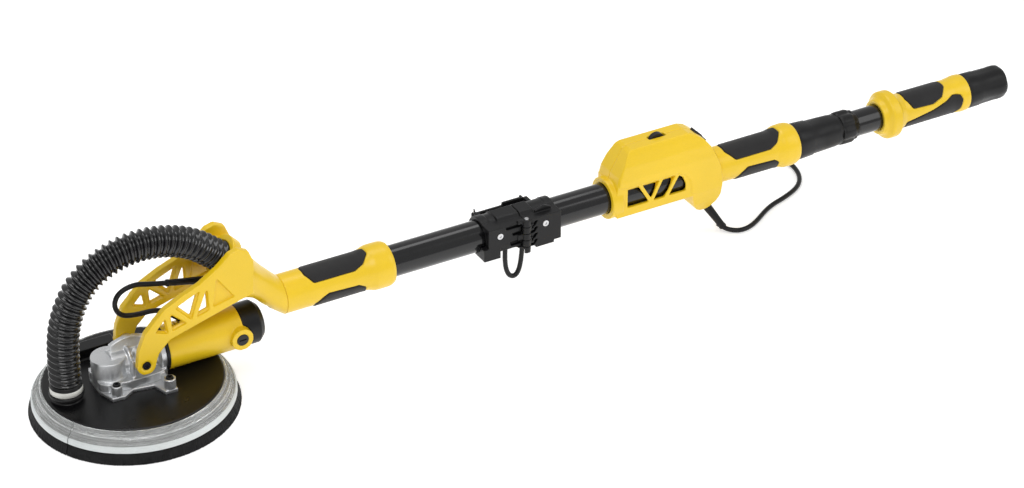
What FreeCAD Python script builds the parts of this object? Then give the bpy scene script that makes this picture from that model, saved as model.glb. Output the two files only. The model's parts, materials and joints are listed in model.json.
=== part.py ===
import FreeCAD
import Part
import math
import os
import Sketcher
from types import SimpleNamespace
from FreeCAD import Rotation, Vector

# Pole drywall sander, in millimetres. The origin is the centre of the sanding face, +X runs along
# the pole to its rear end and +Z is up, so the tool stands on its sanding face.

DIMENSIONS = {
    # sanding head
    "disc_radius": 112.5,
    "disc_thickness": 1.2,
    "foam_thickness": 8,
    "backing_thickness": 3.5,
    "skirt_radius": 122.5,
    "skirt_height": 12.7,
    "ring_radius": 118.3,
    "plate_radius": 104.5,
    "plate_top": 36.4,
    "front_segment_angle": 55.2,
    "hose_x": -81,
    "hose_radius": 18,
    # gearbox and motor
    "layshaft_offset": 28,
    "gear_module": 1,
    "spindle_gear_teeth": 46,
    "pinion_teeth": 10,
    "bevel_gear_teeth": 30,
    "bevel_pinion_teeth": 10,
    "motor_height": 64,
    "motor_radius": 26,
    "motor_front": 37.3,
    "motor_joint": 130,
    "motor_rear": 161,
    "brush_x": 125,
    # fork
    "pivot_x": 4,
    "pivot_height": 71,
    "pivot_radius": 5,
    "fork_half_width": 36,
    "arm_thickness": 8.5,
    # pole
    "pole_height": 89,
    "tube_radius": 19.35,
    "tube_wall": 1.6,
    "inner_tube_radius": 16.8,
    "inner_tube_wall": 1.3,
    "grip_radius": 23.7,
    "collar_radius": 27.7,
    "front_grip_start": 188,
    "front_grip_end": 328,
    "fold_x": 500,
    "fold_y": -31,
    "clamp_reach": 50,
    "clamp_radius": 23,
    "knuckle_radius": 5.5,
    "housing_front": 625,
    "housing_half_width": 25,
    "middle_grip_start": 792,
    "middle_grip_end": 901,
    "sleeve_end": 970,
    "nut_end": 996,
    "rear_ring_start": 1032,
    "rear_grip_end": 1166,
    "pole_end": 1228,
    "outlet_radius": 17.5,
    # leads
    "lead_radius": 3,
    "cord_radius": 3.1,
    "coil_radius": 36,
}


class Size:
    """A number that also knows the expression it comes from, so that it can bind a property."""

    def __init__(self, value, text=None):
        self.value = float(value)
        self.text = text or repr(float(value))

    def __add__(self, other):
        other = size(other)
        return Size(self.value + other.value, f"({self.text} + {other.text})")

    def __sub__(self, other):
        other = size(other)
        return Size(self.value - other.value, f"({self.text} - {other.text})")

    def __mul__(self, other):
        other = size(other)
        return Size(self.value * other.value, f"({self.text} * {other.text})")

    def __truediv__(self, other):
        other = size(other)
        return Size(self.value / other.value, f"({self.text} / {other.text})")

    def __neg__(self):
        return Size(-self.value, f"(-1 * {self.text})")

    def __radd__(self, other):
        return size(other) + self

    def __rsub__(self, other):
        return size(other) - self

    def __rmul__(self, other):
        return size(other) * self

    def __float__(self):
        return self.value


def size(number):
    return number if isinstance(number, Size) else Size(number)


doc = FreeCAD.newDocument("pole_sander")
sheet = doc.addObject("Spreadsheet::Sheet", "dimensions")
for row, (alias, value) in enumerate(DIMENSIONS.items(), 1):
    sheet.set(f"A{row}", alias)
    sheet.set(f"B{row}", str(value))
    sheet.setAlias(f"B{row}", alias)
doc.recompute()
D = SimpleNamespace(**{alias: Size(sheet.get(alias), f"dimensions.{alias}") for alias in DIMENSIONS})

NODES = {}


# ---------------------------------------------------------------- small tools

def bind(thing, path, number):
    """Sets a property, by expression when the number comes from the sheet."""
    number = size(number)
    if "dimensions." in number.text:
        thing.setExpression(path, number.text)
    else:
        target = thing
        *parents, last = path.split(".")
        if parents:
            thing.setExpression(path, number.text)
        else:
            setattr(target, last, number.value)


def place(thing, at=(0, 0, 0), turn=None):
    """Puts an object at a bound position, turned about an axis by an angle."""
    if turn:
        thing.Placement = FreeCAD.Placement(Vector(), Rotation(Vector(*turn[0]), turn[1]))
    for axis, number in zip("xyz", at):
        bind(thing, f"Placement.Base.{axis}", number)


def keep(label, thing):
    """Names the finished sub-part."""
    thing.Label = label
    NODES[label] = thing
    return thing


def box(low, high):
    made = doc.addObject("Part::Box", "block")
    for side, first, last in zip(("Length", "Width", "Height"), low, high):
        bind(made, side, size(last) - first)
    place(made, low)
    return made


TURNS = {"Z": None, "X": ((0, 1, 0), 90), "Y": ((1, 0, 0), -90)}


def rod(axis, start, length, radius):
    """A cylinder from its start along +X, +Y or +Z."""
    made = doc.addObject("Part::Cylinder", "rod")
    bind(made, "Radius", radius)
    bind(made, "Height", length)
    place(made, start, TURNS[axis])
    return made


def leaning_cone(start, way, length, radius, end_radius):
    """A cone or cylinder from a point along any direction."""
    made = doc.addObject("Part::Cone", "cone")
    bind(made, "Radius1", radius)
    bind(made, "Radius2", end_radius)
    made.Height = length
    made.Placement = FreeCAD.Placement(start, Rotation(Vector(0, 0, 1), way))
    return made


def fused(*things):
    made = doc.addObject("Part::MultiFuse", "fused")
    made.Shapes = list(things)
    made.Refine = True
    return made


def cut(base, *tools):
    made = doc.addObject("Part::Cut", "cut")
    made.Base = base
    made.Tool = tools[0] if len(tools) == 1 else fused(*tools)
    made.Refine = True
    return made


def common(base, tool):
    made = doc.addObject("Part::Common", "common")
    made.Base = base
    made.Tool = tool
    return made


def group(*things):
    made = doc.addObject("Part::Compound", "group")
    made.Links = list(things)
    return made


def new_body(at=(0, 0, 0), turn=None):
    made = doc.addObject("PartDesign::Body", "body")
    place(made, at, turn)
    return made


def sketch_on(body, plane, offset=0):
    """A sketch on one of the body's own origin planes, moved along that plane's normal."""
    made = body.newObject("Sketcher::SketchObject", "sketch")
    origin = next(o for o in body.Origin.OriginFeatures if o.Role == plane)
    made.AttachmentSupport = [(origin, "")]
    made.MapMode = "FlatFace"
    bind(made, "AttachmentOffset.Base.z", offset)
    return made


def outline(sketch, points):
    """Draws one closed outline of straight sides, every corner bound."""
    first = sketch.GeometryCount
    spots = [Vector(float(size(a)), float(size(b)), 0) for a, b in points]
    for here, there in zip(spots, spots[1:] + spots[:1]):
        sketch.addGeometry(Part.LineSegment(here, there), False)
    for i, (a, b) in enumerate(points):
        line = first + i
        after = first + (i + 1) % len(points)
        sketch.addConstraint(Sketcher.Constraint("Coincident", line, 2, after, 1))
        for kind, number in (("DistanceX", size(a)), ("DistanceY", size(b))):
            index = sketch.addConstraint(Sketcher.Constraint(kind, line, 1, number.value))
            if "dimensions." in number.text:
                sketch.setExpression(f"Constraints[{index}]", number.text)
    return sketch


def circle(sketch, centre, radius):
    """Draws one circle, its centre and radius bound."""
    a, b, radius = size(centre[0]), size(centre[1]), size(radius)
    spot = Vector(a.value, b.value, 0)
    index = sketch.addGeometry(Part.Circle(spot, Vector(0, 0, 1), radius.value), False)
    rules = (("DistanceX", (index, 3), a), ("DistanceY", (index, 3), b), ("Radius", (index,), radius))
    for kind, where, number in rules:
        rule = sketch.addConstraint(Sketcher.Constraint(kind, *where, number.value))
        if "dimensions." in number.text:
            sketch.setExpression(f"Constraints[{rule}]", number.text)
    return sketch


def feature(body, kind, sketch, **settings):
    made = body.newObject(f"PartDesign::{kind}", kind.lower())
    made.Profile = sketch
    for name, value in settings.items():
        if isinstance(value, Size):
            bind(made, name, value)
        else:
            setattr(made, name, value)
    return made


def turned(profile, axis="X", at=(0, 0, 0), angle=360, turn=None):
    """A body turned about X (points are x, radius) or about Z (points are radius, z)."""
    body = new_body(at, turn)
    sketch = outline(sketch_on(body, "XZ_Plane"), profile)
    line = "H_Axis" if axis == "X" else "V_Axis"
    feature(body, "Revolution", sketch, ReferenceAxis=(sketch, [line]), Angle=angle, Midplane=True)
    return body


def slab(plane, points, offset, thickness, at=(0, 0, 0)):
    """A straight-sided plate, pushed from its offset along the plane's normal."""
    body = new_body(at)
    sketch = outline(sketch_on(body, plane, offset), points)
    feature(body, "Pad", sketch, Length=size(thickness))
    return body


def pocket(body, plane, offset, depth, points=None, circles=(), reverse=False):
    """Cuts into a body, and proves that something came off."""
    doc.recompute()
    before = body.Shape.Volume
    sketch = sketch_on(body, plane, offset)
    if points:
        outline(sketch, points)
    for centre, radius in circles:
        circle(sketch, centre, radius)
    feature(body, "Pocket", sketch, Length=size(depth), Reversed=reverse)
    doc.recompute()
    if body.Shape.Volume > before - 1:
        raise RuntimeError(f"a pocket on {plane} at {float(size(offset)):.1f} cut nothing")


def rounded(body, radius, chosen):
    """Rounds the edges of the body's last feature that the test picks."""
    doc.recompute()
    tip = body.Tip
    names = [f"Edge{i}" for i, edge in enumerate(tip.Shape.Edges, 1) if chosen(edge)]
    made = body.newObject("PartDesign::Fillet", "round")
    made.Base = (tip, names)
    bind(made, "Radius", radius)
    doc.recompute()
    if not made.isValid() or not made.Shape.isValid():
        raise RuntimeError(f"{len(names)} edges of {body.Name} don't take a radius of {radius}")
    return made


def own(label, shape, at=Vector()):
    """A sub-part whose shape comes straight from Part's functions."""
    made = doc.addObject("Part::Feature", "shape")
    made.Shape = shape
    made.Placement = FreeCAD.Placement(at, Rotation())
    return keep(label, made)


# ---------------------------------------------------------------- leads and hoses

def route_wire(points):
    """Straight runs joined by tangent arcs, and the radius of each arc."""
    corners = [Vector(*p) for p in points]
    edges, radii, start = [], [], corners[0]
    for before, here, after in zip(corners, corners[1:], corners[2:]):
        into, out = (here - before), (after - here)
        turn = into.getAngle(out)
        reach = 0.45 * min(into.Length, out.Length)
        radii.append(reach / math.tan(turn / 2))
        first = here - into * (reach / into.Length)
        last = here + out * (reach / out.Length)
        bisector = (first + last) * 0.5 - here
        depth = radii[-1] / math.cos(turn / 2) - radii[-1]
        middle = here + bisector * (depth / bisector.Length)
        edges += [Part.LineSegment(start, first).toShape(), Part.Arc(first, middle, last).toShape()]
        start = last
    edges.append(Part.LineSegment(start, corners[-1]).toShape())
    return Part.Wire(edges), radii


def tube_along(label, points, radius):
    """A round solid along a route, checked against its section times its length."""
    wire, radii = route_wire(points)
    start = Vector(*points[0])
    way = Vector(*points[1]) - start
    section = Part.Wire([Part.Circle(start, way, float(radius)).toShape()])
    shape = wire.makePipeShell([section], True, False)
    expected = math.pi * float(radius) ** 2 * wire.Length
    if abs(shape.Volume / expected - 1) > 0.01:
        raise RuntimeError(f"{label} has {shape.Volume / expected:.3f} of its volume")
    print(f"{label}: {wire.Length:.0f} mm long, arc radii", [round(r, 1) for r in radii])
    return own(label, shape)


# ---------------------------------------------------------------- gears

def gear_outline(teeth, module, phase, height=0.8, root=1.05, thin=0.82):
    """Straight-sided teeth round a circle, as the corners of one closed outline."""
    pitch_radius = teeth * module / 2
    step = 2 * math.pi / teeth
    half = step / 4 * thin
    corners = []
    for tooth in range(teeth):
        middle = (tooth + phase) * step
        shape = ((-1.55, -root), (-0.55, height), (0.55, height), (1.55, -root))
        for side, rise in shape:
            radius = pitch_radius + rise * module
            angle = middle + side * half
            corners.append(Vector(radius * math.cos(angle), radius * math.sin(angle), 0))
    return corners + corners[:1]


def spur_gear(teeth, width, phase):
    face = Part.Face(Part.makePolygon(gear_outline(teeth, float(D.gear_module), phase)))
    return face.extrude(Vector(0, 0, width))


def bevel_gear(teeth, mate, width, phase):
    """A bevel gear about +Z, its cone's apex at the origin and its body below it."""
    module = float(D.gear_module)
    radius, depth = teeth * module / 2, mate * module / 2
    lean = math.hypot(radius, depth) / depth
    inner = 1 - width / math.hypot(radius, depth)
    wires = []
    for scale in (1, inner):
        flat = gear_outline(teeth, module * scale, phase, 0.66 * lean, 0.98 * lean, 0.68)
        wires.append(Part.makePolygon([Vector(p.x, p.y, -depth * scale) for p in flat]))
    return Part.makeLoft(wires, True, True)


# ---------------------------------------------------------------- sanding pad

abrasive_top = D.disc_thickness
foam_top = abrasive_top + D.foam_thickness
backing_top = foam_top + D.backing_thickness


def pad_layer(label, radius, low, high, holes, hole_radius):
    """A disc with the dust holes that run right through the pad."""
    body = turned([(0, low), (radius, low), (radius, high), (0, high)], "Z")
    circles = []
    for i in range(holes):
        angle = 2 * math.pi * i / holes
        circles.append(((D.disc_radius * 0.62 * math.cos(angle), D.disc_radius * 0.62 * math.sin(angle)),
                        hole_radius))
    pocket(body, "XY_Plane", low - 1, high - low + 2, circles=circles, reverse=True)
    return keep(label, body)


pad_layer("abrasive_disc", D.disc_radius, 0, abrasive_top, 8, 5)
pad_layer("foam_pad", D.disc_radius, abrasive_top, foam_top, 8, 5)
pad_layer("backing_plate", D.disc_radius - 3, foam_top, backing_top, 8, 5.5)

gear_low, gear_high = 43.5, 49
spindle = turned(
    [(0, backing_top), (14, backing_top), (14, 16.5), (9, 16.5), (9, 25.6), (4, 25.6),
     (4, 51.3), (2.5, 51.3), (2.5, 56.8), (0, 56.8)],
    "Z",
)
keep("spindle", spindle)
teeth = int(float(D.spindle_gear_teeth))
gear = spur_gear(teeth, gear_high - gear_low, 0.0)
gear = gear.cut(Part.makeCylinder(4, 20, Vector(0, 0, -5)))
for i in range(6):
    angle = i * math.pi / 3
    gear = gear.cut(Part.makeCylinder(4.5, 20, Vector(13 * math.cos(angle), 13 * math.sin(angle), -5)))
own("spindle_gear", gear, Vector(0, 0, gear_low))

# ---------------------------------------------------------------- layshaft and armature

lay_x = -float(D.layshaft_offset)
pinion_teeth = int(float(D.pinion_teeth))
bevel_teeth = int(float(D.bevel_gear_teeth))
bevel_pinion_teeth = int(float(D.bevel_pinion_teeth))
motor_z = float(D.motor_height)

lay = spur_gear(pinion_teeth, gear_high - gear_low + 1.5, 0.5)
lay.translate(Vector(0, 0, gear_low - 0.5))
lay = lay.fuse([
    Part.makeCylinder(2.5, 73 - 37.5, Vector(0, 0, 37.5)),
    Part.makeCylinder(3.4, 67.6 - 41.2, Vector(0, 0, 41.2)),
]).removeSplitter()
own("layshaft", lay, Vector(lay_x, 0, 0))

bevel = bevel_gear(bevel_teeth, bevel_pinion_teeth, 5, 0.5)
disc = Part.makeCylinder(15.9, 2, Vector(0, 0, -8)).fuse(Part.makeCylinder(11.2, 4, Vector(0, 0, -8.9)))
bevel = bevel.fuse(disc).common(Part.makeCylinder(15.9, 12, Vector(0, 0, -10)))
bevel = bevel.cut(Part.makeCylinder(3.4, 30, Vector(0, 0, -20))).removeSplitter()
own("bevel_gear", bevel, Vector(lay_x, 0, motor_z))

shaft_parts = bevel_gear(bevel_pinion_teeth, bevel_teeth, 5, 0.0)
shaft_parts.rotate(Vector(), Vector(0, 1, 0), -90)
rear_seat = 148.5
shaft = shaft_parts.fuse([
    Part.makeCylinder(3.2, 4, Vector(13, 0, 0), Vector(1, 0, 0)),
    Part.makeCylinder(4, rear_seat - lay_x - 18, Vector(15.5, 0, 0), Vector(1, 0, 0)),
]).removeSplitter()
own("armature_shaft", shaft, Vector(lay_x, 0, motor_z))

core = turned([(58, 4), (58, 12), (60, 14), (98, 14), (100, 12), (100, 6.5), (114, 6.5), (114, 10),
               (131, 10), (131, 4)], "X", (0, 0, D.motor_height))
keep("armature_core", core)
fan = turned([(41, 4), (41, 8), (44, 8), (44, 20.5), (45.5, 20.5), (45.5, 4)], "X", (0, 0, D.motor_height))
blades = []
for i in range(9):
    blade = doc.addObject("Part::Box", "blade")
    blade.Length, blade.Width, blade.Height = 6.7, 13.5, 1.2
    turn = FreeCAD.Placement(Vector(0, 0, motor_z), Rotation(Vector(1, 0, 0), 40 * i))
    blade.Placement = turn * FreeCAD.Placement(Vector(45.3, 7, -0.6), Rotation())
    blades.append(blade)
keep("cooling_fan", fused(fan, *blades))

# ---------------------------------------------------------------- shroud, ring and skirt

deck = float(D.plate_top)
deck_low = D.plate_top - 4
plate = turned(
    [(17, deck_low), (17, D.plate_top), (D.plate_radius - 1.5, D.plate_top),
     (D.plate_radius, D.plate_top - 1.5), (D.plate_radius, 24), (D.plate_radius - 3.5, 24),
     (D.plate_radius - 3.5, deck_low)],
    "Z",
)
socket = rod("Z", (D.hose_x, 0, deck_low + 0.5), 8.5, 17.2)
duct = fused(box((-42, 60, deck_low + 0.5), (6, 78, 50)), box((6, 56, deck_low + 0.5), (20, 74, 43)))
port = rod("Z", (D.hose_x, 0, 0), 80, 14)
keep("shroud_plate", cut(fused(plate, socket, duct), port))

ring_profile = [
    (D.ring_radius - 4, D.skirt_height), (D.ring_radius, D.skirt_height),
    (D.ring_radius + 0.7, 20), (D.ring_radius - 1.3, 22), (112.5, 25), (110.5, 30), (107.5, 31),
    (106.5, 35), (D.plate_radius, 35), (D.plate_radius, 27.5), (108.3, 26.5), (110.3, 22.5),
    (D.ring_radius - 3.5, 19),
]
skirt_profile = [
    (D.ring_radius - 4, D.skirt_height), (D.ring_radius, D.skirt_height), (D.skirt_radius, 0),
    (D.ring_radius - 2.5, 0),
]
seam_gap = 0.5
main_angle = 360 - D.front_segment_angle - seam_gap
half_turn = ((0, 0, 1), 180)
for kind, profile in (("clear", ring_profile), ("brush", skirt_profile)):
    keep(f"{kind}_ring", turned(profile, "Z", angle=main_angle))
    keep(f"{kind}_front_segment",
         turned(profile, "Z", angle=D.front_segment_angle - seam_gap, turn=half_turn))

# ---------------------------------------------------------------- gearbox

posts = [(-32, -30, 6.3), (-32, 30, 6.3), (26, -46, 7), (26, 46, 7)]
base_outline = [(-47, -15), (-40, -36), (-25, -37), (-12, -29), (12, -33), (18, -52), (33, -52),
                (34, -24), (34, 24), (33, 52), (18, 52), (12, 33), (-12, 29), (-25, 37), (-40, 36),
                (-47, 15)]
base_top = 41.2
base = slab("XY_Plane", base_outline, D.plate_top, base_top - D.plate_top)
hub = rod("Z", (0, 0, 25.7), D.plate_top + 1 - 25.7, 15.5)
base_holes = [rod("Z", (0, 0, 25.7), 7.3, 11), rod("Z", (0, 0, 20), 40, 6),
              rod("Z", (-D.layshaft_offset, 0, 37.2), 10, 6.5)]
base_holes += [rod("Z", (x, y, 30), 20, 2.1) for x, y, _ in posts]
keep("gearbox_base", cut(fused(base, hub), *base_holes))

case_outline = [(-47, -15), (-40, -24), (-14, -28), (14, -28), (28, -26), (34, -22), (34, 22),
                (28, 26), (14, 28), (-14, 28), (-40, 24), (-47, 15)]
case = slab("XY_Plane", case_outline, base_top, 52 - base_top)
dome = rod("Z", (-D.layshaft_offset, 0, base_top), 75 - base_top, 20.5)
neck = rod("X", (-D.layshaft_offset, 0, D.motor_height), 28 + 30, 16)
shoulder = box((-9, -24, base_top), (-5, 24, 74))
flange = cut(rod("X", (27, 0, D.motor_height), 7, D.motor_radius - 1),
             box((20, -30, 30), (40, 30, base_top + 0.1)))
front_rib = rod("X", (-9, 0, D.motor_height), 4, 20)
spine = box((-28, -2, 60), (30, 2, 82.5))
arch = common(rod("Y", (-4, -3, 48), 6, 46), box((-26, -3, 60), (32, 3, 96)))
pivot_bosses = rod("Y", (D.pivot_x, -27.2, D.pivot_height), 54.4, 8.6)
ribs = [rod("X", (x, 0, D.motor_height), 1.6, 18) for x in (8, 12, 16, 20)]
feet = []
for x, y, radius in posts:
    feet.append(rod("Z", (x, y, base_top), 13, radius))
    side = 1 if y > 0 else -1
    inner = min(24 * side, y), max(24 * side, y)
    feet.append(box((x - 3, inner[0], base_top), (x + 3, inner[1], 49)))
solid_case = fused(case, dome, neck, shoulder, flange, front_rib, spine, arch, pivot_bosses,
                   *ribs, *feet)
cavities = [
    rod("Z", (0, 0, base_top - 1), 10.3, 25.2),
    rod("Z", (-D.layshaft_offset, 0, base_top - 1), 27.8, 17.5),
    rod("Z", (-D.layshaft_offset, 0, 60), 13, 6.5),
    rod("Z", (0, 0, 50), 7.2, 8),
    rod("X", (-22, 0, D.motor_height), 70, 6.2),
    rod("X", (14, 0, D.motor_height), 7, 11),
    rod("X", (21, 0, D.motor_height), 20, 9.5),
    rod("Y", (D.pivot_x, -40, D.pivot_height), 22, 3),
    rod("Y", (D.pivot_x, 18, D.pivot_height), 22, 3),
]
cavities += [rod("Z", (x, y, 30), 40, 2.6) for x, y, _ in posts]
cavities += [rod("Z", (x, y, 52), 10, 4.6) for x, y, _ in posts]
keep("gearbox_housing", cut(solid_case, *cavities))


def screw(at, axis, length, radius, head_length, head_radius):
    """A cap screw whose head's underside is at its place; it points along minus its axis."""
    step = {"X": (1, 0, 0), "Y": (0, 1, 0), "Z": (0, 0, 1)}[axis]
    back = [spot - length * way for spot, way in zip(at, step)]
    deep = [spot + (head_length - 1.6) * way for spot, way in zip(at, step)]
    return cut(fused(rod(axis, back, length + 0.5, radius), rod(axis, at, head_length, head_radius)),
               rod(axis, deep, 5, head_radius * 0.5))


keep("gearbox_screws", group(*[screw((x, y, 52), "Z", 15.6, 2.1, 3.5, 4.1) for x, y, _ in posts]))


def bearing(axis, start, length, radius, bore):
    """A ball bearing as one ring with a groove in each face."""
    shift = {"X": (1, 0, 0), "Y": (0, 1, 0), "Z": (0, 0, 1)}[axis]
    middle, band = (radius + bore) / 2, (radius - bore) * 0.22
    tools = [rod(axis, [s - w for s, w in zip(start, shift)], length + 2, bore)]
    for place_at in (-1, length - 0.5):
        spot = [s + w * place_at for s, w in zip(start, shift)]
        groove = cut(rod(axis, spot, 1.5, middle + band), rod(axis, spot, 1.5, middle - band))
        tools.append(groove)
    return cut(rod(axis, start, length, radius), *tools)


keep("bearings", group(
    bearing("Z", (0, 0, 26), 7, 11, 4.05),
    bearing("Z", (0, 0, 51.6), 5, 8, 2.55),
    bearing("Z", (lay_x, 0, 37.3), 3.8, 6.5, 2.55),
    bearing("Z", (lay_x, 0, 68), 5, 6.5, 2.55),
    bearing("X", (14, 0, motor_z), 7, 11, 4.05),
    bearing("X", (142, 0, motor_z), 6, 9.5, 4.05),
))

# ---------------------------------------------------------------- motor

wall = 2.4
outer = D.motor_radius
keep("motor_gasket", turned([(34, 12), (34, outer + 0.6), (D.motor_front, outer + 0.6),
                             (D.motor_front, 12)], "X", (0, 0, D.motor_height)))
shell = turned([(D.motor_front, outer - wall), (D.motor_front, outer), (D.motor_joint, outer),
                (D.motor_joint, outer - wall)], "X", (0, 0, D.motor_height))
lobes = [rod("Y", (D.brush_x, y, D.motor_height), 11.5, 13.5) for y in (-31.5, 20)]
slots = [box((D.motor_front + 8 + 5 * i, -10, 80), (D.motor_front + 10 + 5 * i, 10, 92)) for i in range(4)]
bore = rod("X", (D.motor_front - 5, 0, D.motor_height), 130, outer - wall)
brush_holes = rod("Y", (D.brush_x, -40, D.motor_height), 80, 7.2)
motor_boot_start, motor_boot_end = Vector(66.7, 7.3, 92), Vector(50, 9, 104)
boot_way = motor_boot_end - motor_boot_start
lead_boss = leaning_cone(motor_boot_start - boot_way * 0.28, boot_way, 8, 6.9, 6.5)
boot_room = leaning_cone(motor_boot_start - boot_way * 0.005, boot_way, 12, 5.35, 5.2)
keep("motor_housing", cut(fused(shell, *lobes, lead_boss), bore, brush_holes, boot_room, *slots))

cap = turned([(D.motor_joint, outer - wall - 4), (D.motor_joint, outer - 0.3),
              (D.motor_rear - 9, outer - 0.3), (D.motor_rear - 2.5, outer - 6),
              (D.motor_rear, outer - 13), (D.motor_rear, 0), (148.4, 0), (148.4, 9.5),
              (141.8, 9.5), (141.8, 12), (148, 12), (150, outer - wall - 4)],
             "X", (0, 0, D.motor_height))
lobe_room = rod("Y", (D.brush_x, -40, D.motor_height), 80, 13.6)
keep("motor_end_cap", cut(cap, lobe_room))

stator = turned([(58, 15), (58, outer - wall), (98, outer - wall), (98, 15)], "X",
                (0, 0, D.motor_height))
keep("stator", stator)
holders = []
caps = []
for side in (-1, 1):
    low = 10.3 if side > 0 else -22
    holders.append(box((D.brush_x - 3, low, D.motor_height - 4), (D.brush_x + 3, low + 11.7,
                                                                  D.motor_height + 4)))
    start = 22.3 if side > 0 else -31.8
    caps.append(cut(rod("Y", (D.brush_x, start, D.motor_height), 9.5, 7.1),
                    box((D.brush_x - 4.5, 30.6 if side > 0 else -33, D.motor_height - 0.8),
                        (D.brush_x + 4.5, 33 if side > 0 else -30.6, D.motor_height + 0.8))))
keep("carbon_brushes", group(*holders))
keep("brush_caps", group(*caps))

bolts = []
for side in (-1, 1):
    shank = rod("Y", (D.pivot_x, -35.8 if side < 0 else 27.3, D.pivot_height), 8.5, D.pivot_radius - 0.05)
    thread = rod("Y", (D.pivot_x, -27.4 if side < 0 else 19, D.pivot_height), 8.4, 3)
    hexagon = rod("Y", (D.pivot_x, -40 if side < 0 else 34.6, D.pivot_height), 5.4, 2.4)
    bolts.append(cut(fused(shank, thread), hexagon))
keep("pivot_bolts", group(*bolts))

keep("hose_lower_cuff", turned(
    [(14, 41.4), (17.4, 41.4), (17.4, 46), (16.6, 46.6), (16.6, 53), (17.4, 53.6), (17.4, 58), (14, 58)],
    "Z", (D.hose_x, 0, 0)))
hose_route = [(-81, 0, 58.9), (-82, 0, 98), (-75, 0, 142), (-52, 0, 182), (-12, 0, 205), (33, 0, 209),
              (76, 0, 197), (107, 0, 171)]
tube_along("dust_hose", hose_route, D.hose_radius)

# ---------------------------------------------------------------- fork

half = D.fork_half_width
arm_outline = [(-7.5, 71), (-5, 90), (4, 112), (17, 126), (30, 138), (52, 149), (74, 157.5),
               (97, 172), (113, 186), (124, 189), (136, 183), (142, 168), (140, 126), (122, 121.5),
               (90, 112.5), (60, 104), (34, 96.5), (20, 83), (15.5, 71)]
truss = [((17, 111), (30, 126), (33, 105)), ((37.5, 107), (36.5, 130.5), (56, 112)),
         ((43, 136), (74, 149.5), (62, 114.5)), ((68, 116), (84, 120.5), (83, 151)),
         ((89, 123), (116, 129), (95, 159))]
arms = []
for start in (half - D.arm_thickness, -half):
    arm = slab("XZ_Plane", arm_outline, start, D.arm_thickness)
    for corners in truss:
        pocket(arm, "XZ_Plane", start - 1, D.arm_thickness + 2, points=corners, reverse=True)
    arms.append(arm)
pivot_eyes = [rod("Y", (D.pivot_x, y, D.pivot_height), D.arm_thickness, 11.5)
              for y in (-half, half - D.arm_thickness)]

across = Rotation(Vector(0, 1, 0), Vector(0, 0, 1), Vector(1, 0, 0), "ZXY")


def hoop(x, centre_z, width, height):
    """An ellipse across the pole, as one section of a loft."""
    made = doc.addObject("Part::Ellipse", "section")
    bind(made, "MajorRadius", width)
    bind(made, "MinorRadius", height)
    made.Placement = FreeCAD.Placement(Vector(), across)
    for axis, number in zip("xyz", (x, 0, centre_z)):
        bind(made, f"Placement.Base.{axis}", number)
    return made


def loft(sections):
    made = doc.addObject("Part::Loft", "loft")
    made.Sections = [hoop(*section) for section in sections]
    made.Solid = True
    made.Ruled = False
    return made


grip = D.grip_radius
bore = D.tube_radius + 0.05
hub = loft([(108, 157, 35.9, 27), (124, 149, 35.5, 33), (139, 138, 33, 33), (151, 127, 28.5, 28),
            (163, 112.5, 26.2, 26.2), (175, 100.5, 25, 25), (182, 94, 24.2, 24.2),
            (D.front_grip_start - 0.2, D.pole_height, grip, grip)])
duct = loft([(120, 149, 18, 17.5), (139, 138, 20, 20), (151, 127, 20, 20), (163, 112.5, 19.5, 19.5),
             (175, 100.5, 18.5, 18.5), (182, 94.5, 18, 18), (D.front_grip_start + 1, D.pole_height, 17.5,
                                                         17.5)])


def slanted(at, angle, length, radius):
    """A cylinder that starts at a point and leans in the XZ plane."""
    made = doc.addObject("Part::Cylinder", "rod")
    bind(made, "Radius", radius)
    bind(made, "Height", length)
    place(made, at, ((0, 1, 0), angle))
    return made


port_angle = 130
port_collar = slanted((105, 0, 179.5), port_angle + 6, 28, 23)
port_bore = slanted((80, 0, 193.6), port_angle, 62, D.hose_radius + 0.8)
fork_boot_start, fork_boot_end = Vector(110, 9, 129.5), Vector(52, 9, 142.5)
boot_socket = leaning_cone(fork_boot_start, fork_boot_end - fork_boot_start, 30, 5.15, 4.9)
tube_seat = rod("X", (D.front_grip_start - 3.5, 0, D.pole_height), 20, bore)
pivot_holes = rod("Y", (D.pivot_x, -60, D.pivot_height), 120, D.pivot_radius)
motor_room = rod("X", (20, 0, D.motor_height), 150, D.motor_radius + 0.8)
keep("fork", cut(fused(*arms, *pivot_eyes, hub, port_collar), port_bore, duct, tube_seat, pivot_holes,
                 motor_room, boot_socket))

# ---------------------------------------------------------------- grips

axis_at = (0, 0, D.pole_height)
pad_rise = 0.5
pad_depth = 1.6


def grip_with_pads(name, profile, top, bottom, radius, top_angle=100, bottom_angle=136):
    """A moulded grip on a tube, with a rubber pad let into its top and one into its underside."""
    pads = []
    for (start, end), angle, turn in ((top, top_angle, None), (bottom, bottom_angle, ((1, 0, 0), 180))):
        section = [(start, radius - pad_depth), (start, radius + pad_rise),
                   (end, radius + pad_rise), (end, radius - pad_depth)]
        pads.append(turned(section, "X", axis_at, angle, turn))
    keep(f"{name}_pads", group(*pads))
    keep(name, cut(turned(profile, "X", axis_at), *pads))


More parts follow.
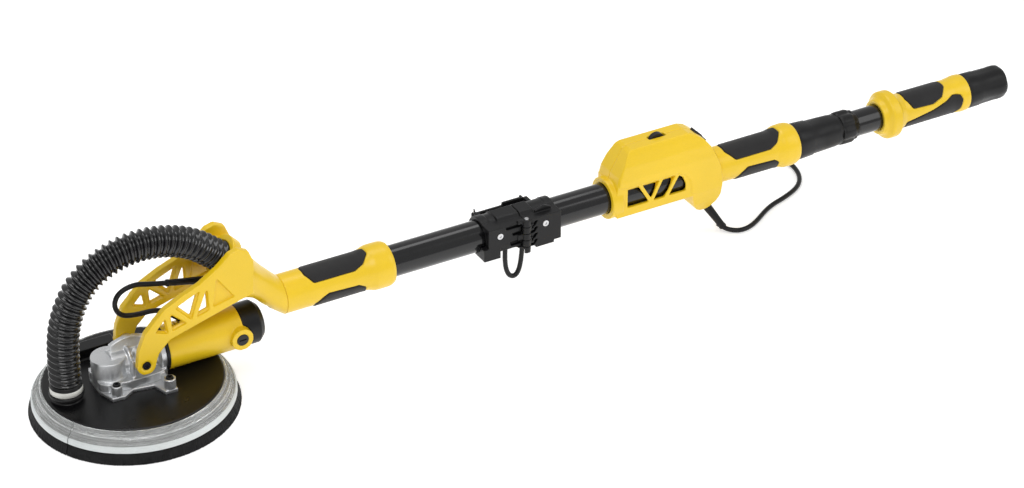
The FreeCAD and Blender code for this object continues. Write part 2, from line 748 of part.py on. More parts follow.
start, end, collar = D.front_grip_start, D.front_grip_end, D.collar_radius
grip_with_pads("front_grip", [
    (start, bore), (start, grip), (end - 39, grip), (end - 31, grip + 1.8), (end - 25, collar),
    (end - 12, collar), (end - 4, collar - 1), (end, collar - 2.6), (end, bore),
], (start + 29, end - 41), (start + 37, end - 41), grip)
start, end = D.middle_grip_start - 3.2, D.middle_grip_end
grip_with_pads("middle_grip", [
    (start, bore), (start, grip - 0.5), (end - 33, grip - 0.5), (end - 27, grip + 1.2),
    (end - 21, collar - 0.2), (end - 9, collar), (end - 3, collar - 1), (end, collar - 2.6), (end, bore),
], (start + 9, end - 27), (start + 22, end - 32), grip - 0.5, 112)
start, end = D.rear_ring_start, D.rear_grip_end
slim = D.grip_radius - 1.4
snug = D.inner_tube_radius + 0.05
grip_with_pads("rear_grip", [
    (start, snug), (start, 22.8), (start + 8, 31), (start + 21, 31), (start + 25, 27.2),
    (start + 28, 25), (start + 36, slim), (end - 22, slim), (end - 12, slim + 1.9), (end, slim + 1.7),
    (end, snug),
], (start + 38, end - 34), (start + 40, end - 13), slim, 128, 130)

# ---------------------------------------------------------------- tubes

tube, thin = D.tube_radius, D.tube_wall


def pipe(label, low, high, radius, thickness):
    keep(label, turned([(low, radius - thickness), (low, radius), (high, radius),
                        (high, radius - thickness)], "X", axis_at))


pipe("front_tube", D.front_grip_start - 3, D.fold_x - 0.3, tube, thin)
pipe("rear_tube", D.fold_x + 0.3, D.sleeve_end - 8, tube, thin)
pipe("inner_tube", 590, D.rear_grip_end - 2, D.inner_tube_radius, D.inner_tube_wall)

# ---------------------------------------------------------------- fold joint

knuckle = D.knuckle_radius
low_z, high_z = 68, 113
knuckle_height, gap = 9, 0.3
near_face = -28.5


def clamp(rear):
    """One half of the folding joint, which clamps a tube's end."""
    side = 1 if rear else -1
    inner = D.fold_x + side * 0.2
    outer_x = D.fold_x + side * D.clamp_reach
    left, right = (inner, outer_x) if rear else (outer_x, inner)
    round_part = rod("X", (left, 0, D.pole_height), right - left, D.clamp_radius)
    cheek = box((left, near_face, 71), (right, -2, 111))
    foot = box((515, near_face, 67.5), (540, 6, 76)) if rear else \
        box((left - 6, near_face, 67.5), (left + 17, 6, 76))
    own_ends, other_ends = [], []
    for i in range(5):
        low = low_z + i * knuckle_height
        mine = (i % 2 == 1) == rear
        if mine:
            trim = gap if 0 < i < 4 else 0
            own_ends.append(rod("Z", (D.fold_x, D.fold_y, low + trim), knuckle_height - 2 * trim,
                                knuckle))
            web = sorted((float(D.fold_x), float(D.fold_x) + side * 11))
            own_ends.append(box((web[0], D.fold_y, low + trim),
                                (web[1], near_face + 2, low + knuckle_height - trim)))
        else:
            other_ends.append(rod("Z", (D.fold_x, D.fold_y, low - gap), knuckle_height + 2 * gap,
                                  knuckle + 0.5))
    hole = rod("X", (left - 20, 0, D.pole_height), right - left + 40, bore)
    pin_hole = rod("Z", (D.fold_x, D.fold_y, 40), 100, 2.5 if not rear else 2.55)
    slots = []
    for i in range(4):
        z = 76 + 9 * i
        first = D.fold_x + (12 if rear else -27)
        slots.append(box((first, near_face - 1, z), (first + 15, near_face + 4, z + 4)))
    screw_x = D.fold_x + (28.5 if rear else -34)
    slots.append(rod("Y", (screw_x, near_face - 1, 97.5), 3.2, 4))
    slots.append(rod("Y", (screw_x, near_face - 1, 97.5), 10, 2))
    slots.append(rod("Z", (D.fold_x + (3.8 if rear else -20), -15, 50), 20, D.lead_radius + 0.1))
    far = []
    if rear:
        far.append(box((530, 16, 88), (536, 31.5, 103)))
    else:
        far += [rod("Z", (462, 29.4, 87), 19, 3.6), box((458.5, 10, 87), (465.5, 29.4, 106))]
        slots.append(rod("Z", (462, 29.4, 91.2), 10.6, 4.8))
        slots.append(rod("Z", (462, 29.4, 76), 50, 1.5))
    keep("rear_hinge_clamp" if rear else "front_hinge_clamp",
         cut(fused(round_part, cheek, foot, *own_ends, *far), hole, pin_hole, *other_ends, *slots))
    head = cut(fused(rod("Y", (screw_x, near_face + 0.1, 97.5), 2, 3.9),
                     rod("Y", (screw_x, near_face + 1, 97.5), 7.5, 1.9)),
               rod("Y", (screw_x, near_face - 1, 97.5), 2.2, 1.9))
    keep("rear_hinge_screw" if rear else "front_hinge_screw", head)


clamp(False)
clamp(True)

lever = fused(rod("Z", (462, 29.4, 91.5), 10, 3.6), box((462, 27, 91.5), (528, 30.6, 101.5)),
              box((500, 27.4, 88), (529, 31, 105)), box((526, 27.4, 88), (529.5, 34, 105)))
keep("latch_lever", cut(lever, rod("Z", (462, 29.4, 86), 30, 1.6)))
keep("hinge_pins", group(rod("Z", (D.fold_x, D.fold_y, low_z - 1.5), high_z - low_z + 3, 2.5),
                         rod("Z", (462, 29.4, 86.8), 19.4, 1.5)))

# ---------------------------------------------------------------- switch housing

front, deep = D.housing_front, D.housing_half_width
shell_wall = 2.5
side_outline = [(front + 6, 66.8), (front + 6, 118), (front + 25, 155.5), (737, 156.5),
                (752, 149.5), (768, 131.5), (780, 108), (787, 88), (787.5, 68), (783, 49),
                (773, 39.5), (760, 36.5), (751, 41), (745, 54), (739, 66)]
room_outline = [(front + 8.5, 69.2), (front + 8.5, 118), (front + 27, 152.5), (736, 153.5),
                (750, 147), (765.5, 130), (777.5, 107), (784.3, 88), (784.8, 68.5), (780.6, 50.5),
                (771.5, 42), (760.5, 39.2), (753, 43), (747, 56), (740.5, 69.2)]
room_across = [(-1, 30), (9.6, 30), (17.6, 43), (float(deep) - 2.5, 73), (float(deep) - 2.5, 121),
               (13.6, 158), (-1, 158)]
across_outline = [(0, 30), (12, 30), (20, 42), (float(deep), 72), (float(deep), 122), (16, 158), (0, 158)]
windows = [((646, 80), (646, 108), (672, 108)), ((678, 108), (704, 108), (691, 84)),
           ((651, 79), (688, 79), (675, 104))]
dial_x, dial_z, dial_radius = 700, 149, 11
rocker_at, rocker_angle = (759.8, 0, 139.2), 48
tube_space = rod("X", (front - 10, 0, D.pole_height), 200, D.tube_radius + 0.05)


def tilted_block(middle, long, wide, tall, angle):
    made = doc.addObject("Part::Box", "block")
    made.Length, made.Width, made.Height = long, wide, tall
    turn = FreeCAD.Placement(Vector(*middle), Rotation(Vector(0, 1, 0), angle))
    made.Placement = turn * FreeCAD.Placement(Vector(-long / 2, -wide / 2, -tall / 2), Rotation())
    return made


relief_start, relief_end = Vector(774, -0.5, 38), Vector(786.5, -13, 11)
relief_way = relief_end - relief_start


for name, side in (("near", -1), ("far", 1)):
    start = 0 if side < 0 else -deep
    half_shell = slab("XZ_Plane", side_outline, start, deep)
    outer_y = float(side * deep)
    rounded(half_shell, 5, lambda edge, y=outer_y: abs(edge.BoundBox.YMin - y) < 0.01
            and abs(edge.BoundBox.YMax - y) < 0.01)
    taper = slab("YZ_Plane", [(side * y, z) for y, z in across_outline], front + 4, 170)
    collar_half = common(rod("X", (front, 0, D.pole_height), 16, 26.6),
                         box((front, -30 if side < 0 else 0, 50), (front + 16, 0 if side < 0 else 30, 130)))
    tools = [slab("XZ_Plane", room_outline, -1 if side < 0 else -deep + shell_wall,
                  deep + 1 - shell_wall), tube_space]
    room = tools[0]
    tools[0] = common(room, slab("YZ_Plane", [(side * y, z) for y, z in room_across], front + 6, 168))
    for corners in windows:
        tools.append(slab("XZ_Plane", corners, deep - 5 if side < 0 else -deep - 5, 10))
    tools += [box((dial_x - 11.6, -3.6, 150), (dial_x + 11.6, 3.6, 160)),
              tilted_block(rocker_at, 25, 11, 16, rocker_angle),
              leaning_cone(relief_start - relief_way * 0.3, relief_way, 20, 5.25, 5.25)]
    keep(f"switch_housing_{name}", cut(fused(common(half_shell, taper), collar_half), *tools))

dial_supports = [rod("Y", (dial_x, -11, dial_z), 22, 2.55)]
dial_supports += [box((dial_x - 3.5, y, 114), (dial_x + 3.5, y + 2.5, dial_z + 2.5)) for y in (-11, 8.5)]
keep("control_board", fused(box((652, -15, 112.5), (735, 15, 114.1)), box((656, -9, 114), (676, 9, 134)),
                            box((716, -8, 114), (732, 8, 126)), rod("Z", (705, 10, 114), 10, 4),
                            *dial_supports))
dial = cut(rod("Y", (dial_x, -3, dial_z), 6, dial_radius), rod("Y", (dial_x, -5, dial_z), 10, 2.6))
keep("speed_dial", dial)
rocker = fused(tilted_block(rocker_at, 23.6, 9.8, 7, rocker_angle),
               rod("Y", (rocker_at[0], -4.9, rocker_at[2]), 9.8, 4.2))
keep("power_switch", rocker)

# ---------------------------------------------------------------- telescopic lock and rear end

slide_gap = D.inner_tube_radius + 0.08
end = D.middle_grip_end
sleeve = D.sleeve_end
keep("lock_sleeve", turned([
    (end + 0.3, bore), (end + 0.3, 23.4), (end + 12, 23.3), (end + 24, 22), (sleeve - 6, 20.6),
    (sleeve, 20.6), (sleeve, slide_gap), (sleeve - 7.6, slide_gap), (sleeve - 7.6, bore)], "X", axis_at))
nut = doc.addObject("Part::Prism", "hexagon")
nut.Polygon = 6
nut.Circumradius = 22
bind(nut, "Height", D.nut_end - D.sleeve_end - 8)
place(nut, (D.sleeve_end + 2, 0, D.pole_height), TURNS["X"])
nut_body = fused(common(nut, rod("X", (D.sleeve_end, 0, D.pole_height), 60, 21.2)),
                 rod("X", (D.sleeve_end + 0.3, 0, D.pole_height), D.nut_end - D.sleeve_end - 0.3, 19.4))
nut_bore = rod("X", (D.sleeve_end - 5, 0, D.pole_height), 80, slide_gap)
keep("lock_nut", cut(nut_body, nut_bore))

start, end = D.rear_grip_end + 0.3, D.pole_end
keep("hose_connector", turned([
    (start, 15.5), (start, 23.6), (start + 26, 23), (end - 4, 21.4), (end, 20), (end, D.outlet_radius),
    (end - 45, D.outlet_radius), (end - 45, 15.5)], "X", axis_at))

# ---------------------------------------------------------------- leads

keep("strain_relief", leaning_cone(relief_start, relief_way, relief_way.Length, 5.2, 3.9))
floor = float(D.cord_radius) + 0.1
relief_step = relief_way * (1 / relief_way.Length)
cord_route = [tuple(relief_end + relief_step * 0.6), tuple(relief_end + relief_step * 8.4), (800, -22, floor), (815, -23.5, floor),
              (842, -17, floor), (872, -5, floor), (904, 9, floor), (934, 28, floor),
              (955, 52, floor), (962, 80, floor), (950, 105, floor), (924, 119, floor),
              (893, 122, floor), (862, 117, floor), (836, 107.5, floor)]
tube_along("mains_cord", cord_route, D.cord_radius)
coil_at = (792, 141)
turn_step = 2 * D.cord_radius
coil_height = 4 * turn_step + 0.6
inner_turn, outer_turn = D.coil_radius - 2.5 * turn_step, D.coil_radius + 2.5 * turn_step
coil = turned([(inner_turn, 0), (outer_turn, 0), (outer_turn, coil_height),
               (inner_turn, coil_height)], "Z", (*coil_at, 0))
keep("cord_coil", coil)
plug_low = float(coil_height) + 0.2
plug_body = box((750, 103.4, plug_low), (784, 131.4, plug_low + 14))
pins = [rod("X", (731, y, plug_low + 7), 19, 2) for y in (107.9, 126.9)]
keep("mains_plug", fused(plug_body, *pins))

for label, start, end, thick in (("fork_lead_boot", fork_boot_start, fork_boot_end, 5),
                                 ("motor_lead_boot", motor_boot_start, motor_boot_end, 5.2)):
    keep(label, leaning_cone(start, end - start, (end - start).Length, thick, 3.6))
fork_step = (fork_boot_end - fork_boot_start) * (1 / (fork_boot_end - fork_boot_start).Length)
motor_step = boot_way * (1 / boot_way.Length)
fork_route = [tuple(fork_boot_end + fork_step * 0.5), tuple(fork_boot_end + fork_step * 19), (14, 10.5, 151),
              (-3, 10, 145), (-11, 10, 132), (-4, 10, 119), (12, 10.2, 112.5),
              tuple(motor_boot_end + motor_step * 11), tuple(motor_boot_end + motor_step * 0.5)]
tube_along("fork_lead", fork_route, D.lead_radius)
fold = float(D.fold_x)
fold_route = [(fold - 20, -15, 69), (fold - 20.4, -15.3, 48), (fold - 14, -15.5, 33), (fold - 3, -15.5, 32),
              (fold + 4.2, -15.3, 46), (fold + 3.8, -15, 69)]
tube_along("fold_lead", fold_route, D.lead_radius)

# ---------------------------------------------------------------- checks and export

doc.recompute()
for thing in doc.Objects:
    if "Invalid" in thing.State or "Error" in thing.State:
        raise RuntimeError(f"{thing.Label} ({thing.TypeId}) failed: {thing.State}")
if len(NODES) > 60:
    raise RuntimeError(f"{len(NODES)} nodes are more than 60")
os.makedirs("parts", exist_ok=True)
for label, thing in NODES.items():
    shape = thing.Shape
    if shape.isNull() or not shape.isValid() or shape.Volume < 1:
        raise RuntimeError(f"{label} has no valid shape")
    shape.exportStep(f"parts/{label}.step")
    bounds = shape.BoundBox
    print(f"{label}: {len(shape.Solids)} solid(s), {shape.Volume / 1000:.2f} cm3, "
          f"z {bounds.ZMin:.1f} to {bounds.ZMax:.1f}")
print(len(NODES), "nodes")
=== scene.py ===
import bmesh
import bpy
import json
import math
import numpy as np
import random
from mathutils import Matrix, Vector


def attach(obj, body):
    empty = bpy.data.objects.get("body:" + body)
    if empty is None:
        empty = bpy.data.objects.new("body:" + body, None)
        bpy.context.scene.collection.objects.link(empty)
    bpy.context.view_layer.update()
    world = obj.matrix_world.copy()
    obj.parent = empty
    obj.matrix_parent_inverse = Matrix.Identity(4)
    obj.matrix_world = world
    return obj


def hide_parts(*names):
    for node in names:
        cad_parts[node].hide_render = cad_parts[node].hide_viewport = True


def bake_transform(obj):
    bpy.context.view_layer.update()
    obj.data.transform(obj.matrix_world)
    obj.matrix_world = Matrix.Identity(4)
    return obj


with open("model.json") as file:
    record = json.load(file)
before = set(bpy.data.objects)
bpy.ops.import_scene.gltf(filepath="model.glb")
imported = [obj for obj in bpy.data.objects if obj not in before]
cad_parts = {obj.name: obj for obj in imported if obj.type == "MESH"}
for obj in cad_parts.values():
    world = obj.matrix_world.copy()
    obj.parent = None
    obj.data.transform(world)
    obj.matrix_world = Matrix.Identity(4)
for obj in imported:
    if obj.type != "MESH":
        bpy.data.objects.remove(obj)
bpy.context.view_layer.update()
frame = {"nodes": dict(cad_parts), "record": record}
nodes = frame["nodes"]
body_of = {n: b for b, names in frame["record"]["behaviour"]["bodies"].items() for n in names}
slot_of = {s["node"]: s["material_slot"] for s in frame["record"]["subparts"]}
rng = random.Random(7)

# Lengths in metres, or in millimetres where the name ends in _MM. X runs along the pole, Z is up.
POLE_MM = 89
POLE = POLE_MM / 1000
POLE_AXIS_MM = (0, POLE_MM)
FOLD_MM = (500, -31)
PIVOT_MM = (4, 71)
HOSE_X_MM = -81
TUBE_BORE_MM = 19.4
INNER_TUBE_BORE_MM = 16.86

# ------------------------------------------------------------------ camera

camera = bpy.data.objects.new("camera", bpy.data.cameras.new("camera"))
bpy.context.scene.collection.objects.link(camera)
camera.location = (-1.01796, -2.67038, 1.97435)
camera.rotation_euler = (math.radians(58.09), 0, math.radians(-29.58))
camera.data.sensor_width = 36
camera.data.lens = 105.28
camera.data.clip_end = 50
bpy.context.scene.camera = camera

# ------------------------------------------------------------------ materials


def mix_colour(tree, kind, factor, a, b):
    node = tree.nodes.new("ShaderNodeMix")
    node.data_type = "RGBA"
    node.blend_type = kind
    for spot, value in ((0, factor), (6, a), (7, b)):
        if isinstance(value, bpy.types.NodeSocket):
            tree.links.new(value, node.inputs[spot])
        else:
            node.inputs[spot].default_value = value
    return node.outputs[2]


def remap(tree, value, low, high, to_low, to_high):
    node = tree.nodes.new("ShaderNodeMapRange")
    tree.links.new(value, node.inputs[0])
    for spot, number in zip((1, 2, 3, 4), (low, high, to_low, to_high)):
        node.inputs[spot].default_value = number
    return node.outputs[0]


def noise(tree, where, scale, detail=3.0, rough=0.55, stretch=None):
    if stretch:
        mapping = tree.nodes.new("ShaderNodeMapping")
        mapping.inputs["Scale"].default_value = stretch
        tree.links.new(where, mapping.inputs["Vector"])
        where = mapping.outputs["Vector"]
    node = tree.nodes.new("ShaderNodeTexNoise")
    node.inputs["Scale"].default_value = scale
    node.inputs["Detail"].default_value = detail
    node.inputs["Roughness"].default_value = rough
    tree.links.new(where, node.inputs["Vector"])
    return node.outputs["Fac"]


DUST = (0.72, 0.70, 0.66, 1)


def material(name, colour, rough, metal=0.0, grain=1400.0, height=0.00004, spread=0.06, rough_spread=0.06,
             broad=9.0, coat=0.0, stretch=None, edge=None, dust=0.0, sheen=0.0, specular=0.5):
    """A shader with fine grain in its bump and broad variation in its colour and its gloss. Its convex edges
    can be lightened to a colour by an amount, a painted highlight, and dust can lie on it."""
    made = bpy.data.materials.new(name)
    made.use_nodes = True
    tree = made.node_tree
    shader = tree.nodes["Principled BSDF"]
    where = tree.nodes.new("ShaderNodeTexCoord").outputs["Object"]
    wide = noise(tree, where, broad, 4.0)
    fine = noise(tree, where, grain, 2.0, 0.6, stretch)
    dark = [c * (1 - spread) for c in colour] + [1]
    light = [min(1, c * (1 + spread)) for c in colour] + [1]
    base = mix_colour(tree, "MIX", remap(tree, wide, 0.35, 0.65, 0, 1), dark, light)
    speck = remap(tree, fine, 0.3, 0.7, 0.94, 1.06)
    tint = tree.nodes.new("ShaderNodeCombineColor")
    for spot in range(3):
        tree.links.new(speck, tint.inputs[spot])
    base = mix_colour(tree, "MULTIPLY", 1.0, base, tint.outputs[0])
    # Painted highlight: convex edges, found by pointiness, are lightened towards the given colour by the given
    # amount.
    if edge:
        point = tree.nodes.new("ShaderNodeNewGeometry").outputs["Pointiness"]
        edge_highlight_share = remap(tree, point, 0.52, 0.60, 0, edge[1])
        base = mix_colour(tree, "MIX", edge_highlight_share, base, (*edge[0], 1))
    if dust:
        patches = noise(tree, where, 38, 6.0, 0.7)
        base = mix_colour(tree, "MIX", remap(tree, patches, 0.56, 0.75, 0, dust), base, DUST)
    tree.links.new(base, shader.inputs["Base Color"])
    gloss = noise(tree, where, broad * 6, 5.0, 0.6)
    tree.links.new(remap(tree, gloss, 0.3, 0.7, max(0.02, rough - rough_spread), rough + rough_spread),
                   shader.inputs["Roughness"])
    bump = tree.nodes.new("ShaderNodeBump")
    bump.inputs["Strength"].default_value = 1.0
    bump.inputs["Distance"].default_value = height
    tree.links.new(fine, bump.inputs["Height"])
    tree.links.new(bump.outputs[0], shader.inputs["Normal"])
    shader.inputs["Metallic"].default_value = metal
    shader.inputs["Coat Weight"].default_value = coat
    shader.inputs["Coat Roughness"].default_value = 0.12
    shader.inputs["Sheen Weight"].default_value = sheen
    shader.inputs["Specular IOR Level"].default_value = specular
    return made


YELLOW = (0.79, 0.525, 0.008)
# The edge colours given to material() here and below are painted highlights on convex edges.
looks = {
    "yellow_plastic": material("yellow_plastic", YELLOW, 0.34, spread=0.035, grain=1700, height=0.00003,
                               edge=((1.0, 0.72, 0.08), 0.35), coat=0.08),
    "black_plastic": material("black_plastic", (0.0045, 0.0045, 0.005), 0.40, spread=0.18, grain=1300,
                              height=0.00007, edge=((0.03, 0.03, 0.03), 0.5), specular=0.28),
    "soft_grip": material("soft_grip", (0.011, 0.0105, 0.011), 0.62, spread=0.15, grain=1500, height=0.00010,
                          sheen=0.12, edge=((0.03, 0.03, 0.03), 0.4), specular=0.28),
    "black_tube": material("black_tube", (0.003, 0.003, 0.0035), 0.17, spread=0.2, grain=700, height=0.00001,
                           stretch=(0.05, 1, 1), coat=0.5, rough_spread=0.05, specular=0.28),
    "cast_aluminium": material("cast_aluminium", (0.66, 0.67, 0.68), 0.36, metal=0.9, spread=0.07, grain=900,
                               height=0.00009, rough_spread=0.1, edge=((0.9, 0.9, 0.9), 0.6)),
    "black_steel": material("black_steel", (0.028, 0.028, 0.03), 0.32, metal=0.8, grain=1200),
    "bright_steel": material("bright_steel", (0.60, 0.60, 0.61), 0.26, metal=1.0, grain=900,
                             stretch=(1, 1, 0.1), height=0.00002),
    "lamination": material("lamination", (0.16, 0.14, 0.12), 0.5, metal=0.4, grain=500, stretch=(6, 0.4, 0.4),
                           height=0.0001),
    "rubber": material("rubber", (0.005, 0.005, 0.0055), 0.33, spread=0.2, grain=1000, height=0.00004,
                       edge=((0.02, 0.02, 0.02), 0.4), specular=0.28),
    "bristle": material("bristle", (0.006, 0.006, 0.0065), 0.6, specular=0.2, spread=0.4, grain=1500,
                        stretch=(1, 1, 0.05), height=0.0003, broad=120),
    "foam": material("foam", (0.03, 0.03, 0.03), 0.9, grain=700, height=0.0004),
    "abrasive": material("abrasive", (0.46, 0.30, 0.20), 0.85, grain=1800, height=0.0003, spread=0.1,
                         broad=300),
    "board": material("board", (0.03, 0.20, 0.08), 0.4, grain=300, height=0.00005),
}
satin_black = material("satin_black", (0.004, 0.004, 0.0045), 0.32, specular=0.3, spread=0.15, grain=1600,
                       height=0.00003, broad=7, edge=((0.03, 0.03, 0.03), 0.4))
hose_black = material("hose_black", (0.003, 0.003, 0.0035), 0.17, specular=0.5, spread=0.2, grain=500,
                      height=0.00005, rough_spread=0.08, broad=25, coat=0.25)
band_grey = material("band_grey", (0.62, 0.62, 0.58), 0.35, spread=0.08, grain=600, broad=60)
lip_grey = material("lip_grey", (0.60, 0.63, 0.63), 0.38, spread=0.05, grain=900, broad=22, dust=0.1)


def clear_material():
    made = material("clear_plastic", (0.86, 0.88, 0.87), 0.10, spread=0.06, grain=160, height=0.00045,
                    rough_spread=0.07, broad=40, dust=0.30)
    shader = made.node_tree.nodes["Principled BSDF"]
    shader.inputs["Transmission Weight"].default_value = 0.78
    shader.inputs["IOR"].default_value = 1.46
    return made


looks["clear_plastic"] = clear_material()

# ------------------------------------------------------------------ mesh tools


def new_object(name, mesh, look, body=None, replace=(), smooth=True):
    """A mesh or curve in the scene, with its material, the CAD nodes it replaces and its body."""
    made = bpy.data.objects.new(name, mesh)
    bpy.context.scene.collection.objects.link(made)
    if smooth and isinstance(mesh, bpy.types.Mesh):
        mesh.shade_smooth()
    if look:
        mesh.materials.clear()
        mesh.materials.append(look)
    if replace:
        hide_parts(*replace)
    if body:
        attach(made, body)
    return made


def baked(obj):
    """The object's mesh with its modifiers applied; the object itself is removed."""
    bpy.context.view_layer.update()
    shape = bpy.data.meshes.new_from_object(obj.evaluated_get(bpy.context.evaluated_depsgraph_get()))
    bpy.data.objects.remove(obj)
    return shape


def round_edges(raw, voxel, rounds, keep):
    """Modifiers that remesh a solid, relax its edges and keep a share of its faces."""
    remesh = raw.modifiers.new("remesh", "REMESH")
    remesh.mode = "VOXEL"
    remesh.voxel_size = voxel
    relax = raw.modifiers.new("relax", "SMOOTH")
    relax.factor = 0.5
    relax.iterations = rounds
    if keep < 1:
        raw.modifiers.new("thin", "DECIMATE").ratio = keep


def softened(name, source, look, voxel, rounds):
    """A CAD node's shape with every edge and corner rounded as a moulding's are, in place of the node."""
    raw = bpy.data.objects.new(name + "_raw", nodes[source].data.copy())
    bpy.context.scene.collection.objects.link(raw)
    round_edges(raw, voxel, rounds, 0.5)
    return new_object(name, baked(raw), look, body_of[source], [source])


def stitch(work, first, second, closed=True):
    """Four-sided faces between two rows of vertices."""
    count = len(first)
    for i in range(count if closed else count - 1):
        j = (i + 1) % count
        work.faces.new((first[i], first[j], second[j], second[i]))


def finished(work, name):
    """The mesh of a bmesh, with its faces turned outwards."""
    bmesh.ops.recalc_face_normals(work, faces=work.faces)
    mesh = bpy.data.meshes.new(name)
    work.to_mesh(mesh)
    work.free()
    return mesh


def tube_mesh(name, rings):
    """A skin over a list of rings, each with the same number of points, with both ends filled."""
    work = bmesh.new()
    rows = [[work.verts.new(p) for p in ring] for ring in rings]
    for a, b in zip(rows, rows[1:]):
        stitch(work, a, b)
    work.faces.new(list(reversed(rows[0])))
    work.faces.new(rows[-1])
    return finished(work, name)


def hollow_mesh(name, rings, full=True):
    """A skin over a list of rings, joined back to the first one. When the rings are open, both ends are
    filled."""
    work = bmesh.new()
    rows = [[work.verts.new(p) for p in ring] for ring in rings]
    for a, b in zip(rows, rows[1:] + rows[:1]):
        stitch(work, a, b, full)
    if not full:
        work.faces.new([row[0] for row in rows])
        work.faces.new([row[-1] for row in reversed(rows)])
    return finished(work, name)


def centreline(points, step):
    """Evenly spaced points along the smooth curve that has these control points, with its directions."""
    curve = bpy.data.curves.new("line", "CURVE")
    curve.dimensions = "3D"
    spline = curve.splines.new("NURBS")
    spline.points.add(len(points) - 1)
    for spot, point in zip(spline.points, points):
        spot.co = (*point, 1)
    spline.order_u = 3
    spline.use_endpoint_u = True
    spline.resolution_u = 24
    holder = bpy.data.objects.new("line", curve)
    bpy.context.scene.collection.objects.link(holder)
    mesh = baked(holder)
    raw = [v.co.copy() for v in mesh.vertices]
    lengths = [0.0]
    for a, b in zip(raw, raw[1:]):
        lengths.append(lengths[-1] + (b - a).length)
    count = max(2, round(lengths[-1] / step))
    found, at = [], 0
    for i in range(count + 1):
        goal = lengths[-1] * i / count
        while at < len(raw) - 2 and lengths[at + 1] < goal:
            at += 1
        share = (goal - lengths[at]) / max(1e-9, lengths[at + 1] - lengths[at])
        found.append(raw[at].lerp(raw[at + 1], min(1, share)))
    ways = []
    for i in range(len(found)):
        a, b = found[max(0, i - 1)], found[min(len(found) - 1, i + 1)]
        ways.append((b - a).normalized())
    return found, ways, lengths[-1]


def swept(name, points, radius_at, around=32, step=0.001):
    """A skin along a curve; radius_at gives the radius from the distance along it and the angle round it."""
    line, ways, length = centreline(points, step)
    side = ways[0].orthogonal().normalized()
    rings = []
    for i, (spot, way) in enumerate(zip(line, ways)):
        side = (side - way * side.dot(way)).normalized()
        other = way.cross(side)
        ring = []
        for k in range(around):
            angle = 2 * math.pi * k / around
            r = radius_at(length * i / (len(line) - 1), angle)
            ring.append(spot + (side * math.cos(angle) + other * math.sin(angle)) * r)
        rings.append(ring)
    return tube_mesh(name, rings)


def lathed(name, profile, around=96, start=0.0, sweep=360.0, centre=(0, 0, 0), ripple=None):
    """A closed profile of (radius, height) turned about Z; ripple adds to the radius."""
    full = sweep > 359.9
    count = around if full else around + 1
    rings = []
    for r, h in profile:
        ring = []
        for k in range(count):
            angle = math.radians(start + sweep * k / around)
            rr = r + (ripple(r, h, angle) if ripple else 0)
            ring.append(Vector((rr * math.cos(angle), rr * math.sin(angle), h)) + Vector(centre))
        rings.append(ring)
    return hollow_mesh(name, rings, full)


def solid(kind, *args, axis="Z", sides=72):
    """A plain closed solid given in millimetres, for sculpting: box(low, high), bar(centre, low, high, radius)
    or prism(outline, low, high[, end outline]), the last two along an axis."""
    work = bmesh.new()
    if kind == "box":
        low, high = Vector(args[0]), Vector(args[1])
        bmesh.ops.create_cube(work, size=1)
        for v in work.verts:
            v.co = Vector(l + (h - l) * (c + 0.5) for l, h, c in zip(low, high, v.co))
    else:
        if kind == "bar":
            (a, b), low, high, radius = args
            turns = [2 * math.pi * k / sides for k in range(sides)]
            loops = [[(a + radius * math.cos(t), b + radius * math.sin(t)) for t in turns]] * 2
        else:
            outline, low, high = args[:3]
            loops = [outline, args[3] if len(args) > 3 else outline]
        rows = []
        for loop, level in zip(loops, (low, high)):
            row = []
            for p, q in loop:
                row.append(work.verts.new({"Z": (p, q, level), "Y": (p, level, q), "X": (level, p, q)}[axis]))
            rows.append(row)
        work.faces.new(rows[0])
        work.faces.new(rows[1])
        stitch(work, rows[0], rows[1])
        bmesh.ops.recalc_face_normals(work, faces=work.faces)
        bmesh.ops.triangulate(work, faces=work.faces)
    for v in work.verts:
        v.co *= 0.001
    mesh = bpy.data.meshes.new(kind)
    work.to_mesh(mesh)
    work.free()
    return mesh


def leaning(mesh, at, degrees, axis="Y"):
    """The solid turned about an axis through a point in millimetres."""
    spot = Matrix.Translation(Vector(at) * 0.001)
    mesh.transform(spot @ Matrix.Rotation(math.radians(degrees), 4, axis) @ spot.inverted())
    return mesh


def sculpted(name, adds, cuts, look, replace, voxel=0.0008, rounds=5, keep=0.5):
    """Solids joined, others cut away, and the result's edges rounded, in place of the CAD node."""
    bases = []
    for group, way in ((adds[1:], "UNION"), (cuts, "DIFFERENCE")):
        for mesh in group:
            tool = bpy.data.objects.new("tool", mesh)
            bpy.context.scene.collection.objects.link(tool)
            bases.append((tool, way))
    raw = bpy.data.objects.new(name + "_raw", adds[0])
    bpy.context.scene.collection.objects.link(raw)
    for tool, way in bases:
        step = raw.modifiers.new("cut", "BOOLEAN")
        step.operation = way
        step.solver = "MANIFOLD"
        step.object = tool
    round_edges(raw, voxel, rounds, keep)
    shape = baked(raw)
    for tool, way in bases:
        bpy.data.objects.remove(tool)
    return new_object(name, shape, look, body_of[replace[0]], replace)


def outline_distance(points, x, y, corner):
    """The signed distance in millimetres from an outline whose corners are rounded, negative inside."""
    best = np.full(x.shape, 1e9)
    inside = np.zeros(x.shape, bool)
    for (ax, ay), (bx, by) in zip(points, points[1:] + points[:1]):
        dx, dy = bx - ax, by - ay
        t = np.clip(((x - ax) * dx + (y - ay) * dy) / (dx * dx + dy * dy), 0, 1)
        best = np.minimum(best, np.hypot(x - ax - t * dx, y - ay - t * dy))
        if ay != by:
            crosses = ((ay > y) != (by > y)) & (x < (bx - ax) * (y - ay) / (by - ay) + ax)
            inside ^= crosses
    return np.where(inside, -best, best) - corner


def smooth_step(value):
    """0 up to 0, 1 from 1 on, and a soft S between."""
    value = np.clip(value, 0, 1)
    return value * value * (3 - 2 * value)


